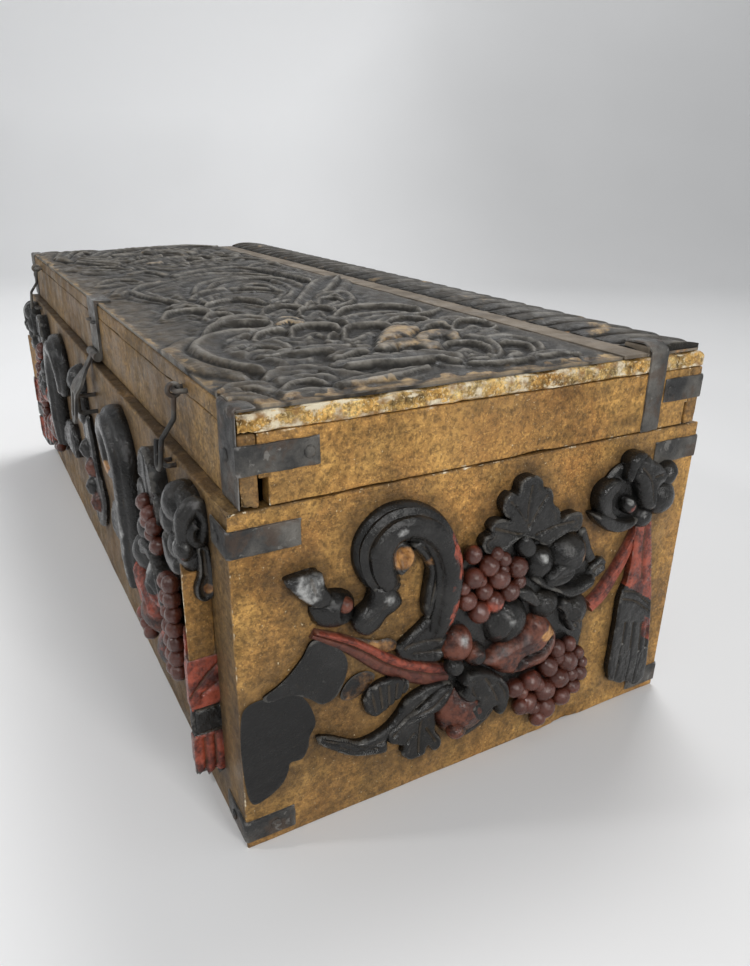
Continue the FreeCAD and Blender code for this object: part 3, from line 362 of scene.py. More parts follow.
def on_left_end(p):
    return columns(-END_FACE - p[:, 2], p[:, 0], p[:, 1])


def on_front(p):
    return columns(p[:, 0], -FRONT_FACE - p[:, 2], p[:, 1])


def on_front_mirrored(p):
    return columns(-p[:, 0], -FRONT_FACE - p[:, 2], p[:, 1])


def beside(x):
    """Lays a shape against an upright plane across the chest, facing away from the middle."""
    way = 1.0 if x > 0 else -1.0
    return lambda p: columns(x + way * p[:, 2], p[:, 0], p[:, 1])


def on_lid(p):
    return columns(p[:, 0], p[:, 1], PANEL_TOP + p[:, 2])


def as_is(p):
    """Keeps a shape where it is, for pieces laid out in the chest's own frame."""
    return p


CARVED_ENDS = (on_right_end, on_left_end)
CARVED_SIDES = (*CARVED_ENDS, on_front, on_front_mirrored)


def read(mesh, kind="co"):
    """The places of a mesh's vertices, or their normals."""
    values = np.empty(len(mesh.vertices) * 3)
    mesh.vertices.foreach_get(kind, values)
    return values.reshape(-1, 3)


def store(mesh, name, values):
    """Keeps one value for each vertex under a name that a finish can ask for."""
    layer = mesh.attributes.new(name, "FLOAT", "POINT")
    layer.data.foreach_set("value", values.astype(np.float32))


def mark_wear(mesh):
    """Stores how convex each vertex is: 1 on a sharp edge and -1 in a hollow."""
    count = len(mesh.vertices)
    points, normals = read(mesh), read(mesh, "normal")
    edges = np.empty(len(mesh.edges) * 2, int)
    mesh.edges.foreach_get("vertices", edges)
    a, b = edges.reshape(-1, 2).T
    bend, links = np.zeros(count), np.zeros(count)
    run = points[b] - points[a]
    length = np.maximum(np.linalg.norm(run, axis=1), 1e-7)
    np.add.at(bend, a, -(normals[a] * run).sum(axis=1) / length)
    np.add.at(bend, b, (normals[b] * run).sum(axis=1) / length)
    np.add.at(links, a, 1)
    np.add.at(links, b, 1)
    bend /= np.maximum(links, 1)
    for _ in range(2):
        spread = np.zeros(count)
        np.add.at(spread, a, bend[b])
        np.add.at(spread, b, bend[a])
        bend = 0.5 * bend + 0.5 * spread / np.maximum(links, 1)
    store(mesh, "edge", np.clip(bend * 3.0, -1, 1))


def show(name, data):
    """Puts new data into the scene as an object."""
    obj = bpy.data.objects.new(name, data)
    bpy.context.scene.collection.objects.link(obj)
    return obj


def settle(obj, body, nodes):
    """Hangs a finished piece on its body and hides the CAD nodes that it stands for."""
    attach(obj, body)
    if nodes:
        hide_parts(*nodes)
    return obj


def set_in(shells, name, place, material, body, nodes=(), sharp=48):
    """Turns shells into a piece of the chest."""
    flat = np.vstack(shells.points)
    if place in CARVED_ENDS:
        flat = columns(flat[:, :2], np.minimum(flat[:, 2], END_RELIEF))
    points = place(flat) * MM
    turned = np.linalg.det(place(np.array([[1.0, 0, 0], [0, 1, 0], [0, 0, 1]])) - place(np.zeros((3, 3)))) < 0
    if place in CARVED_SIDES:
        CARVED.append(points[::3] / MM)
    faces = []
    for group in shells.faces:
        faces += (group[:, ::-1] if turned else group).tolist()
    mesh = bpy.data.meshes.new(name)
    mesh.from_pydata(points.tolist(), [], faces)
    table = np.vstack(shells.paint)
    # The low parts of carving on the sides get painted shade next to the board, with some dirt.
    if place in CARVED_SIDES:
        low = limited((2.9 - flat[:, 2] + 0.5 * lumps(flat, 5.0, 1.0)) / 2.4) * 0.9
        shade = table[:, PAINTS.index("shade")]
        table[:, PAINTS.index("shade")] = np.maximum(shade, low)
    for column, paint in enumerate(PAINTS):
        if table[:, column].any():
            store(mesh, paint, table[:, column])
    mesh.shade_smooth()
    mesh.set_sharp_from_angle(angle=math.radians(sharp))
    mark_wear(mesh)
    mesh.materials.append(material)
    return settle(show(name, mesh), body, nodes)


# ---------------------------------------------------------------- finishes

class Bench:
    """Lays nodes in a tree and joins them up."""

    def __init__(self, tree):
        self.tree = tree

    def put(self, kind, inputs=(), **settings):
        node = self.tree.nodes.new(kind)
        for key, value in settings.items():
            setattr(node, key, value)
        for key, value in dict(inputs).items():
            self.feed(node.inputs[key], value)
        return node

    def feed(self, socket, value):
        if isinstance(value, bpy.types.NodeSocket):
            self.tree.links.new(value, socket)
        else:
            socket.default_value = value

    def sum(self, kind, *values, clamp=False):
        node = self.put("ShaderNodeMath", operation=kind, use_clamp=clamp)
        for socket, value in zip(node.inputs, values):
            self.feed(socket, value)
        return node.outputs[0]

    def times(self, first, second):
        return self.sum("MULTIPLY", first, second)

    def plus(self, first, second, clamp=False):
        return self.sum("ADD", first, second, clamp=clamp)

    def less(self, first, second):
        return self.sum("SUBTRACT", first, second)

    def vector(self, kind, first, second):
        return self.put("ShaderNodeVectorMath", {0: first, 1: second}, operation=kind).outputs[0]

    def scaled(self, vector, amount):
        return self.put("ShaderNodeVectorMath", {0: vector, "Scale": amount}, operation="SCALE").outputs[0]

    def parted(self, vector):
        return self.put("ShaderNodeSeparateXYZ", {"Vector": vector}).outputs

    def joined(self, **parts):
        return self.put("ShaderNodeCombineXYZ", parts).outputs[0]

    def blend(self, share, first, second):
        node = self.put("ShaderNodeMix", data_type="RGBA", blend_type="MIX", clamp_factor=True)
        for number, value in ((0, share), (6, first), (7, second)):
            if number and not isinstance(value, bpy.types.NodeSocket) and len(value) == 3:
                value = (*value, 1.0)
            self.feed(node.inputs[number], value)
        return node.outputs[2]

    def over(self, colour, mask, share, tone):
        """The colour with a tone laid over it where the mask is, at most by the share."""
        return self.blend(self.times(mask, share), colour, tone)

    def smooth(self, value, low, high, first=0.0, second=1.0):
        return self.put("ShaderNodeMapRange", {"Value": value, "From Min": low, "From Max": high,
            "To Min": first, "To Max": second}, interpolation_type="SMOOTHSTEP").outputs["Result"]

    def noise(self, where, scale, detail=4.0, roughness=0.55, distortion=0.0):
        return self.put("ShaderNodeTexNoise", {"Vector": where, "Scale": scale, "Detail": detail,
            "Roughness": roughness, "Distortion": distortion}).outputs["Fac"]

    def own(self, name):
        """A share that is kept on the piece itself."""
        return self.put("ShaderNodeAttribute", attribute_name=name).outputs["Fac"]


def effect(name, inputs, outputs, kind="ShaderNodeTree"):
    """An empty group of nodes with named inputs (name, kind, value) and outputs (name, kind)."""
    tree = bpy.data.node_groups.new(name, kind)
    for label, socket_kind, value in inputs:
        socket = tree.interface.new_socket(name=label, in_out="INPUT", socket_type=socket_kind)
        if value is not None:
            socket.default_value = value
    for label, socket_kind in outputs:
        tree.interface.new_socket(name=label, in_out="OUTPUT", socket_type=socket_kind)
    bench = Bench(tree)
    return bench, bench.put("NodeGroupInput").outputs, bench.put("NodeGroupOutput").inputs


FLOAT, VECTOR, WHOLE = "NodeSocketFloat", "NodeSocketVector", "NodeSocketInt"
SHAPE, COATING = "NodeSocketGeometry", "NodeSocketMaterial"


def make_patches():
    """Uneven patches that cover a chosen share of the surface."""
    bench, given, made = effect("Patches", [("Coordinates", VECTOR, None), ("Size", FLOAT, 30.0),
        ("Cover", FLOAT, 0.5), ("Softness", FLOAT, 0.08)], [("Mask", FLOAT)])
    grain = bench.noise(given["Coordinates"], given["Size"], 7.0, 0.62, 0.3)
    middle = bench.less(0.72, bench.times(given["Cover"], 0.44))
    bench.feed(made["Mask"], bench.smooth(grain, bench.less(middle, given["Softness"]),
        bench.plus(middle, given["Softness"])))
    return bench.tree


def make_rubbing():
    """Wear on edges that stand proud, broken up unevenly."""
    bench, given, made = effect("Rubbed edges", [("Edge", FLOAT, 0.0), ("Coordinates", VECTOR, None),
        ("Reach", FLOAT, 0.4), ("Raggedness", FLOAT, 0.8)], [("Mask", FLOAT)])
    rough = bench.noise(given["Coordinates"], 160.0, 5.0, 0.65)
    shift = bench.times(bench.less(rough, 0.5), given["Raggedness"])
    limit = bench.less(0.85, given["Reach"])
    bench.feed(made["Mask"], bench.smooth(bench.plus(given["Edge"], shift), limit, bench.plus(limit, 0.22)))
    return bench.tree


def make_grime():
    """Dust and old polish that stay in hollows and lie on what faces up."""
    bench, given, made = effect("Settled grime", [("Edge", FLOAT, 0.0), ("Coordinates", VECTOR, None),
        ("Hollows", FLOAT, 0.7), ("Lying", FLOAT, 0.3)], [("Mask", FLOAT)])
    rough = bench.noise(given["Coordinates"], 70.0, 6.0, 0.6)
    hollow = bench.smooth(bench.plus(bench.times(given["Edge"], -1.0), bench.less(rough, 0.55)), 0.02, 0.5)
    up = bench.parted(bench.put("ShaderNodeNewGeometry").outputs["Normal"])["Z"]
    lying = bench.times(bench.smooth(up, 0.35, 0.95), bench.smooth(rough, 0.35, 0.7))
    bench.feed(made["Mask"], bench.plus(bench.times(hollow, given["Hollows"]),
        bench.times(lying, given["Lying"]), clamp=True))
    return bench.tree


def make_surface():
    """The slight unevenness of hand work: long waves, tool marks and fine grit."""
    bench, given, made = effect("Hand-worked surface", [("Coordinates", VECTOR, None), ("Waves", FLOAT, 0.5),
        ("Marks", FLOAT, 0.5), ("Grit", FLOAT, 0.3)], [("Height", FLOAT)])
    waves = bench.times(bench.noise(given["Coordinates"], 28.0, 2.0), given["Waves"])
    marks = bench.times(bench.noise(given["Coordinates"], 190.0, 3.0), given["Marks"])
    grit = bench.times(bench.noise(given["Coordinates"], 900.0, 4.0, 0.7), given["Grit"])
    bench.feed(made["Height"], bench.plus(bench.plus(waves, marks), grit))
    return bench.tree


def make_grain():
    """Wood grain that runs along the boards and shows through thin paint."""
    bench, given, made = effect("Wood grain", [("Coordinates", VECTOR, None), ("Fineness", FLOAT, 1.0)],
        [("Lines", FLOAT), ("Height", FLOAT)])
    drawn = bench.vector("MULTIPLY", given["Coordinates"], (0.055, 0.055, 1.0))
    lines = bench.noise(bench.scaled(drawn, given["Fineness"]), 260.0, 5.0, 0.6, 0.6)
    bench.feed(made["Lines"], bench.smooth(lines, 0.36, 0.66))
    bench.feed(made["Height"], lines)
    return bench.tree


PATCHES, RUBBING, GRIME, SURFACE, GRAIN = (make() for make in (make_patches, make_rubbing, make_grime,
    make_surface, make_grain))


class Finish(Bench):
    """A new material with a bench of its own, its main shader and the piece's own coordinates."""

    def __init__(self, name):
        self.material = bpy.data.materials.new(name)
        self.material.use_nodes = True
        super().__init__(self.material.node_tree)
        self.shader = self.tree.nodes["Principled BSDF"].inputs
        self.where = self.put("ShaderNodeTexCoord").outputs["Object"]

    def use(self, tree, **inputs):
        """The outputs of an effect that is placed on the bench."""
        node = self.put("ShaderNodeGroup", {"Coordinates": self.where}, node_tree=tree)
        for key, value in inputs.items():
            self.feed(node.inputs[key], value)
        return node.outputs

    def patches(self, size, cover, softness):
        return self.use(PATCHES, Size=size, Cover=cover, Softness=softness)["Mask"]

    def rubbing(self, reach, raggedness):
        return self.use(RUBBING, Edge=self.own("edge"), Reach=reach, Raggedness=raggedness)["Mask"]

    def grime(self, hollows, lying):
        return self.use(GRIME, Edge=self.own("edge"), Hollows=hollows, Lying=lying)["Mask"]

    def surface(self, waves, marks, grit):
        return self.use(SURFACE, Waves=waves, Marks=marks, Grit=grit)["Height"]

    def cloud(self, scale, detail=4.0, roughness=0.55):
        return self.noise(self.where, scale, detail, roughness)

    def done(self, looks, height=None, strength=1.0, distance=0.001):
        """Joins the colour and values to the shader, with the height as its bump, and gives the material."""
        for label, value in looks.items():
            self.feed(self.shader[label], value)
        if height is not None:
            bump = self.put("ShaderNodeBump", {"Height": height, "Strength": strength, "Distance": distance})
            self.feed(self.shader["Normal"], bump.outputs["Normal"])
        return self.material


def toned(colour, share):
    """The colour with its three parts scaled alike."""
    return tuple(share * value for value in colour)


def gilded(name, bright, ground, shadow, ruddy, chips=0.42, grime=0.45, gloss=0.46, crust=0.0, mottle=0.42):
    """Mottled ochre gold over gesso on softwood, rubbed and grimy, and dark close to the carving."""
    coat = Finish(name)
    lines = coat.use(GRAIN, Fineness=1.0)["Lines"]
    colour = coat.blend(coat.patches(34.0, 0.52, 0.12), ground, bright)
    gilt = coat.blend(coat.smooth(coat.cloud(50.0), 0.35, 0.65), (0.60, 0.325, 0.088), (0.40, 0.195, 0.052))
    colour = coat.blend(coat.own("gilt"), colour, gilt)
    for size, cover, softness, share, tone in ((150.0, 0.5, 0.07, 0.6, ground),
            (14.0, 0.34, 0.14, 0.5, ruddy), (520.0, 0.42, 0.08, 0.62, shadow),
            (900.0, 0.30, 0.06, 0.5, toned(bright, 1.35))):
        colour = coat.over(colour, coat.patches(size, cover, softness), share, tone)
    colour = coat.over(colour, lines, 0.24, shadow)
    dirt = coat.patches(9.0, grime, 0.16)
    colour = coat.over(colour, dirt, 0.62, shadow)
    # The shade share darkens the gold close to the carving, partly dirt and partly painted shade of the
    # relief, and along the case's top edge under the lid.
    close = coat.times(coat.own("shade"), coat.smooth(coat.cloud(62.0, 5.0, 0.6), 0.25, 0.6, 0.45, 1.0))
    colour = coat.over(colour, close, 0.85, toned(shadow, 0.75))
    colour = coat.blend(coat.grime(0.7, 0.12), colour, toned(shadow, 0.6))
    tone = coat.plus(coat.times(coat.cloud(19.0, 7.0, 0.68), 0.5),
        coat.times(coat.cloud(210.0, 6.0, 0.72), 0.5))
    colour = coat.scaled(colour, coat.smooth(tone, 0.38, 0.62, 1 - mottle, 1 + mottle))
    colour = coat.over(colour, coat.patches(620.0, 0.07 + 0.22 * crust, 0.03), 0.8, (0.80, 0.66, 0.42))
    rubbed = coat.rubbing(chips, 1.5)
    gesso = coat.blend(coat.smooth(coat.cloud(130.0), 0.38, 0.6), (0.36, 0.20, 0.075), (0.88, 0.78, 0.58))
    gleam = coat.smooth(coat.cloud(60.0, 5.0), 0.3, 0.7, gloss - 0.1, gloss + 0.22)
    height = coat.plus(coat.surface(1.2, 0.7 + crust, 0.55 + crust), coat.times(lines, -0.16))
    return coat.done({"Base Color": coat.blend(rubbed, colour, gesso), "Specular IOR Level": 0.30,
        "Metallic": coat.smooth(coat.plus(dirt, close), 0.0, 1.0, 0.30, 0.05),
        "Roughness": coat.plus(gleam, coat.times(rubbed, 0.2))}, coat.less(height, coat.times(rubbed, 0.25)),
        0.85, 0.0012)


def painted(name, black, pale, dust, gloss=0.34, hollows=0.6, lying=0.15, reach=0.30, tarnish=0.4, dusty=0.0,
        shine=0.42, gold=((0.13, 0.050, 0.016), (0.50, 0.255, 0.085))):
    """Varnished paint on carving: black with red, maroon, silvered and bare parts, worn on its edges, with
    painted highlights and painted shade.
    """
    coat = Finish(name)
    colour = coat.blend(coat.patches(46.0, tarnish, 0.12), black,
        tuple(1.9 * value + 0.004 for value in black))
    tone, fine = coat.cloud(85.0, 6.0, 0.62), coat.cloud(420.0, 4.0, 0.65)
    for paint, dark, light in (("red", (0.050, 0.012, 0.009), (0.31, 0.066, 0.036)),
            ("maroon", (0.026, 0.009, 0.007), (0.140, 0.045, 0.026)), ("bare", *gold),
            ("silver", (0.060, 0.060, 0.058), (0.36, 0.36, 0.35))):
        own = coat.own(paint)
        broken = coat.smooth(coat.plus(own, coat.times(coat.less(tone, 0.5), 1.1)), 0.30, 0.58)
        mottle = coat.smooth(coat.plus(tone, coat.times(coat.less(fine, 0.5), 0.5)), 0.34, 0.66)
        colour = coat.over(colour, broken, coat.smooth(own, 0.02, 0.2), coat.blend(mottle, dark, light))
    colour = coat.over(colour, coat.patches(330.0, 0.14, 0.05), 0.30, pale)
    lain = coat.times(coat.own("dust"), coat.smooth(coat.cloud(120.0, 6.0, 0.65), 0.28, 0.62))
    grey = coat.blend(coat.smooth(fine, 0.35, 0.68), toned(dust, 0.62), toned(dust, 1.5))
    colour = coat.over(colour, lain, dusty, grey)
    settled = coat.grime(hollows, lying)
    colour = coat.blend(settled, colour, dust)
    # Pale crests: partly rubbed paint and partly painted highlight.
    colour = coat.over(colour, coat.times(coat.own("crest"), coat.smooth(tone, 0.30, 0.62)), 0.75, pale)
    colour = coat.over(colour, coat.rubbing(reach, 1.1), 0.55, pale)
    gleam = coat.smooth(coat.cloud(75.0, 6.0, 0.65), 0.3, 0.72, gloss - 0.12, gloss + 0.2)
    # The shade share darkens the paint towards black: painted shade.
    return coat.done({"Base Color": coat.over(colour, coat.own("shade"), 0.92, toned(black, 0.3)),
        "Roughness": coat.plus(gleam, coat.times(settled, 0.35)), "Specular IOR Level": shine},
        coat.surface(1.0, 1.0, 0.30), 0.8, 0.0010)


def wrought(name, dark, light, rust):
    """Hammered iron, blue-grey, with pale scuffs and a little rust."""
    coat = Finish(name)
    colour = coat.blend(coat.smooth(coat.cloud(42.0, 6.0, 0.6), 0.35, 0.7), dark, light)
    colour = coat.over(colour, coat.patches(75.0, 0.34, 0.05), 0.55, rust)
    scuffs = coat.patches(120.0, 0.22, 0.025)
    colour = coat.over(colour, scuffs, 0.5, (0.30, 0.29, 0.27))
    hammered = coat.put("ShaderNodeTexVoronoi", {"Vector": coat.where, "Scale": 230.0},
        feature="SMOOTH_F1").outputs["Distance"]
    return coat.done({"Base Color": coat.over(colour, coat.rubbing(0.34, 1.0), 0.6, (0.26, 0.25, 0.24)),
        "Metallic": coat.smooth(scuffs, 0.0, 1.0, 0.30, 0.7), "Specular IOR Level": 0.40,
        "Roughness": coat.smooth(coat.cloud(130.0, 5.0), 0.3, 0.7, 0.30, 0.66)},
        coat.plus(coat.times(hammered, 0.6), coat.surface(0.5, 1.0, 0.6)), 0.9, 0.0009)


def bare_wood(name, light, dark):
    """Old softwood of the inside, brown with age."""
    coat = Finish(name)
    grain = coat.use(GRAIN, Fineness=0.8)
    colour = coat.over(coat.blend(grain["Lines"], light, dark), coat.patches(12.0, 0.45, 0.15), 0.5, dark)
    roughness = coat.smooth(grain["Lines"], 0.0, 1.0, 0.62, 0.8)
    return coat.done({"Base Color": colour, "Roughness": roughness}, grain["Height"], 0.6, 0.0008)


OCHRE = gilded("ochre_gold", (0.64, 0.365, 0.105), (0.42, 0.220, 0.062), (0.105, 0.060, 0.022),
    (0.33, 0.125, 0.034), chips=0.52, grime=0.51, gloss=0.40)
# A darker copy of the ochre gold for the front, back, rails and middle of the top: partly browned gold and
# partly painted shade of the front.
BROWNED_AND_SHADED = gilded("browned_gold", (0.380, 0.238, 0.088), (0.250, 0.150, 0.056), (0.070, 0.043, 0.022),
    (0.19, 0.090, 0.035), chips=0.36, grime=0.6)
CRUST = gilded("crusted_gold", (0.94, 0.70, 0.29), (0.62, 0.35, 0.09), (0.10, 0.055, 0.022),
    (0.45, 0.20, 0.06), chips=0.80, grime=0.3, gloss=0.42, crust=0.92, mottle=0.75)
BLACK = painted("black_paint", (0.0080, 0.0076, 0.0070), (0.125, 0.118, 0.105), (0.060, 0.042, 0.023),
    gloss=0.19, shine=0.38)
TOP_BLACK = painted("top_black", (0.0145, 0.0125, 0.0095), (0.20, 0.185, 0.160), (0.105, 0.080, 0.052),
    gloss=0.40, hollows=0.5, lying=0.20, reach=0.34, dusty=0.82, shine=0.22,
    gold=((0.085, 0.046, 0.018), (0.40, 0.27, 0.125)))
TOP_GROUND = painted("top_ground", (0.100, 0.082, 0.062), (0.27, 0.24, 0.20), (0.140, 0.112, 0.082),
    gloss=0.52, hollows=0.6, lying=0.6, reach=0.4, tarnish=0.55, shine=0.22)
IRON = wrought("wrought_iron", (0.026, 0.026, 0.026), (0.150, 0.140, 0.124), (0.075, 0.045, 0.028))
WOOD = bare_wood("old_softwood", (0.23, 0.145, 0.075), (0.10, 0.062, 0.034))


# ---------------------------------------------------------------- worn boards

def spread(low, high, near, step):
    """Places along one side of a board, close together near its edges."""
    room = (high - low) / 2
    close = [value for value in near if value < room * 0.9]
    middle = np.linspace(low + close[-1], high - close[-1],
        max(2, int(round((high - low - 2 * close[-1]) / step)) + 1))[1:-1]
    return np.concatenate([[low + value for value in close], middle, [high - value for value in close[::-1]]])


def worn_block(shells, low, high, rounding=1.3, step=8.0, seed=1.0, nicks=0.8, waves=0.25, dents=(),
        square=(), **paint):
    """A board with uneven worn edges; dents are (x, y, z, radius, depth) bites out of it.

    The sides named in square, as -1, 1, -2, 2, -3 or 3 for the axes, butt on another board and keep sharp
    edges.
    """
    seed += shells.shift
    low, high = np.array(low, float), np.array(high, float)
    near = (0.0, 0.35, 0.8, 1.4, 2.2, 3.4, 5.2, 7.6)
    sides = [spread(low[k], high[k], near, step) for k in range(3)]
    index, points, faces = {}, [], []
    for fixed, first, second in ((2, 0, 1), (1, 0, 2), (0, 1, 2)):
        last = len(sides[fixed]) - 1
        for end, i, j in product((0, last), range(len(sides[first]) - 1), range(len(sides[second]) - 1)):
            quad = []
            for along, across in ((0, 0), (1, 0), (1, 1), (0, 1)):
                key = [0, 0, 0]
                key[fixed], key[first], key[second] = end, i + along, j + across
                quad.append(index.setdefault(tuple(key), len(points)))
                if quad[-1] == len(points):
                    points.append([side[place] for side, place in zip(sides, key)])
            faces.append(quad if (end > 0) == (fixed != 1) else quad[::-1])
    p = np.array(points)
    worn = rounding * (0.75 + 0.45 * lumps(p, 22.0, seed))
    worn += nicks * limited(lumps(p, 7.0, seed + 5) - 0.35) * 2.2
    worn += nicks * limited(lumps(p, 3.0, seed + 9) - 0.5)
    worn = np.clip(worn, 0.2, (high - low).min() * 0.46)[:, None]
    from_low = np.array([0.0 if -axis in square else 1.0 for axis in (1, 2, 3)])
    from_high = np.array([0.0 if axis in square else 1.0 for axis in (1, 2, 3)])
    core = np.clip(p, low + worn * from_low, high - worn * from_high)
    out = p - core
    length = np.maximum(np.linalg.norm(out, axis=1), 1e-9)[:, None]
    p = core + out / length * worn
    inward = -out / length
    p += inward * (waves * (0.5 + 0.5 * lumps(p, 38.0, seed + 2)))[:, None]
    for x, y, z, radius, depth in dents:
        away = np.linalg.norm(p - (x, y, z), axis=1) / radius
        bite = depth * limited(1.2 - away + 0.35 * lumps(p, 1.6, seed))
        p += inward * bite[:, None]
    shells.add(p, [np.array(faces)], paint)


CARVED = []


def close_to_carving(points, reach=8.5):
    """How close points of a board are to the carving on it: 1 where it touches and 0 well away."""
    tree = kdtree.KDTree(sum(len(group) for group in CARVED))
    for number, spot in enumerate(np.vstack(CARVED)):
        tree.insert(spot, number)
    tree.balance()
    far = np.array([tree.find(spot)[2] for spot in points])
    return bell(far / reach)


def board(name, node, low, high, material, body="case", slot="gilded_boards", carved=False, **wear):
    """A board that stands for its CAD node; a carved one is dark round its carving and along its top edge."""
    shells = Shells()
    # Darker close to the carving, partly dirt and partly painted shade of the relief, and darker along the
    # top edge under the lid.
    if carved:
        wear["shade"] = lambda x, y, z: np.maximum(close_to_carving(columns(x, y, z)),
            limited((z - 170.4) / 0.8) * (np.abs(y) < 131.6))
    if material is BROWNED_AND_SHADED:
        wear["gilt"] = lambda x, y, z: limited((np.abs(x) - 309.2 + 0.9 * lumps(columns(x, y, z), 9.0, 2))
            / 1.2)
    worn_block(shells, low, high, **wear)
    return set_in(shells, name, as_is, material, body, [node], sharp=60)


def make_boards():
    """The case's boards and the lid's rails and top board."""
    for side, x in (("right", 1), ("left", -1)):
        low_x, high_x = sorted((x * 309.7, x * END_FACE))
        for name, low_y, high_y, square in (("front", -FRONT_FACE, -INNER_FACE, 2),
                ("back", INNER_FACE, FRONT_FACE, -2)):
            board(f"{name}_board_{side}_end", f"{name}_board", (low_x, low_y, 0), (high_x, high_y, CASE_TOP),
                OCHRE, carved=True, seed=12.5 + x, rounding=1.1, step=3.0, waves=0.15, square=(square, -x),
                dents=[(END_FACE, -FRONT_FACE, CASE_TOP, 5, 1.6)])
        low_x, high_x = sorted((x * 302, x * END_FACE))
        board(f"{side}_end_board_worn", f"{side}_end_board", (low_x, -INNER_FACE, 0),
            (high_x, INNER_FACE, CASE_TOP), OCHRE, carved=True, seed=4.0 - 0.5 * x, rounding=1.0, waves=0.2,
            step=3.0, square=(-2, 2), dents=[(END_FACE, -14, 169, 4, 1.0), (END_FACE, -90, CASE_TOP, 6, 1.3),
            (END_FACE, 60, 0, 8, 1.4)])
    front_dents = ((END_FACE, 150, 9, 1.6), (END_FACE, 118, 7, 1.3), (END_FACE, 62, 8, 1.5),
        (300, CASE_TOP, 10, 2.0), (120, CASE_TOP, 9, 1.4), (END_FACE, CASE_TOP, 6, 2.2),
        (END_FACE, 2, 8, 2.2))
    board("front_board_worn", "front_board", (-FIELD_END, -FRONT_FACE, 0), (FIELD_END, -INNER_FACE, CASE_TOP),
        BROWNED_AND_SHADED, carved=True, seed=1.5, rounding=1.5, step=4.0, square=(2, -1, 1),
        dents=[(x, -FRONT_FACE, z, radius, depth) for x, z, radius, depth in front_dents])
    board("back_board_worn", "back_board", (-FIELD_END, INNER_FACE, 0), (FIELD_END, FRONT_FACE, CASE_TOP),
        BROWNED_AND_SHADED, seed=2.5, rounding=1.6, square=(-2, -1, 1))
    board("bottom_board_worn", "bottom_board", (-302, -INNER_FACE, 0), (302, INNER_FACE, 8), WOOD, seed=11.5,
        step=14.0)
    board("lid_front_rail_worn", "lid_front_rail", (-END_FACE, LID_FRONT, LID_FOOT),
        (END_FACE, -118.5, RAIL_TOP), BROWNED_AND_SHADED, "lid", seed=5.5, rounding=1.2,
        dents=[(END_FACE, LID_FRONT, 174, 6, 1.6), (200, LID_FRONT, 172, 8, 1.0)])
    board("lid_back_rail_worn", "lid_back_rail", (-END_FACE, 120.5, LID_FOOT), (END_FACE, LID_BACK, RAIL_TOP),
        BROWNED_AND_SHADED, "lid", seed=6.5, rounding=1.2)
    for side, x in (("right", 1), ("left", -1)):
        shells = Shells(x)
        low_x, high_x = sorted((x * 303, x * END_FACE))
        for low_y, low_z, high_y, rounding, seed in ((-114.5, LID_FOOT, 119.1, 1.0, 7.5),
                (-118.5, 183.9, -113.5, 0.9, 8.5), (118.1, 183.9, 120.5, 0.6, 9.5)):
            worn_block(shells, (low_x, low_y, low_z), (high_x, high_y, RAIL_TOP), rounding=rounding,
                seed=seed, dents=[(x * END_FACE, -70, LID_FOOT, 5, 0.9),
                (x * END_FACE, 20, LID_FOOT, 7, 0.8)])
        set_in(shells, f"lid_{side}_rail_worn", as_is, OCHRE, "lid", [f"lid_{side}_rail"],
            sharp=60)
    edge_dents = ((-104, 4, 2.2), (49, 3, 2.0), (LID_FRONT, 9, 3.0), (112, 7, 2.0), (-40, 9, 1.8),
        (-70, 7, 1.7), (20, 8, 1.6), (80, 6, 1.5))
    for name, low_x, high_x, material in (("middle", -304.5, 304.5, BROWNED_AND_SHADED), ("right", 304, END_FACE, CRUST),
            ("left", -END_FACE, -304, CRUST)):
        shells = Shells()
        worn_block(shells, (low_x, LID_FRONT, RAIL_TOP), (high_x, LID_BACK, TOP_BOARD), rounding=1.6,
            nicks=1.9, seed=10.5, step=5.0,
            dents=[(END_FACE, y, TOP_BOARD, radius, depth) for y, radius, depth in edge_dents])
        points = shells.points[0]
        back = limited((points[:, 1] - 122.5) / 6.0)
        points[:, 2] -= np.clip(points[:, 2] - 206.0, 0, None) * (1 - np.sqrt(1 - back ** 2)) * 0.95
        set_in(shells, f"lid_top_board_{name}", as_is, material, "lid", ["lid_top_board"],
            sharp=60)


# ---------------------------------------------------------------- carved top

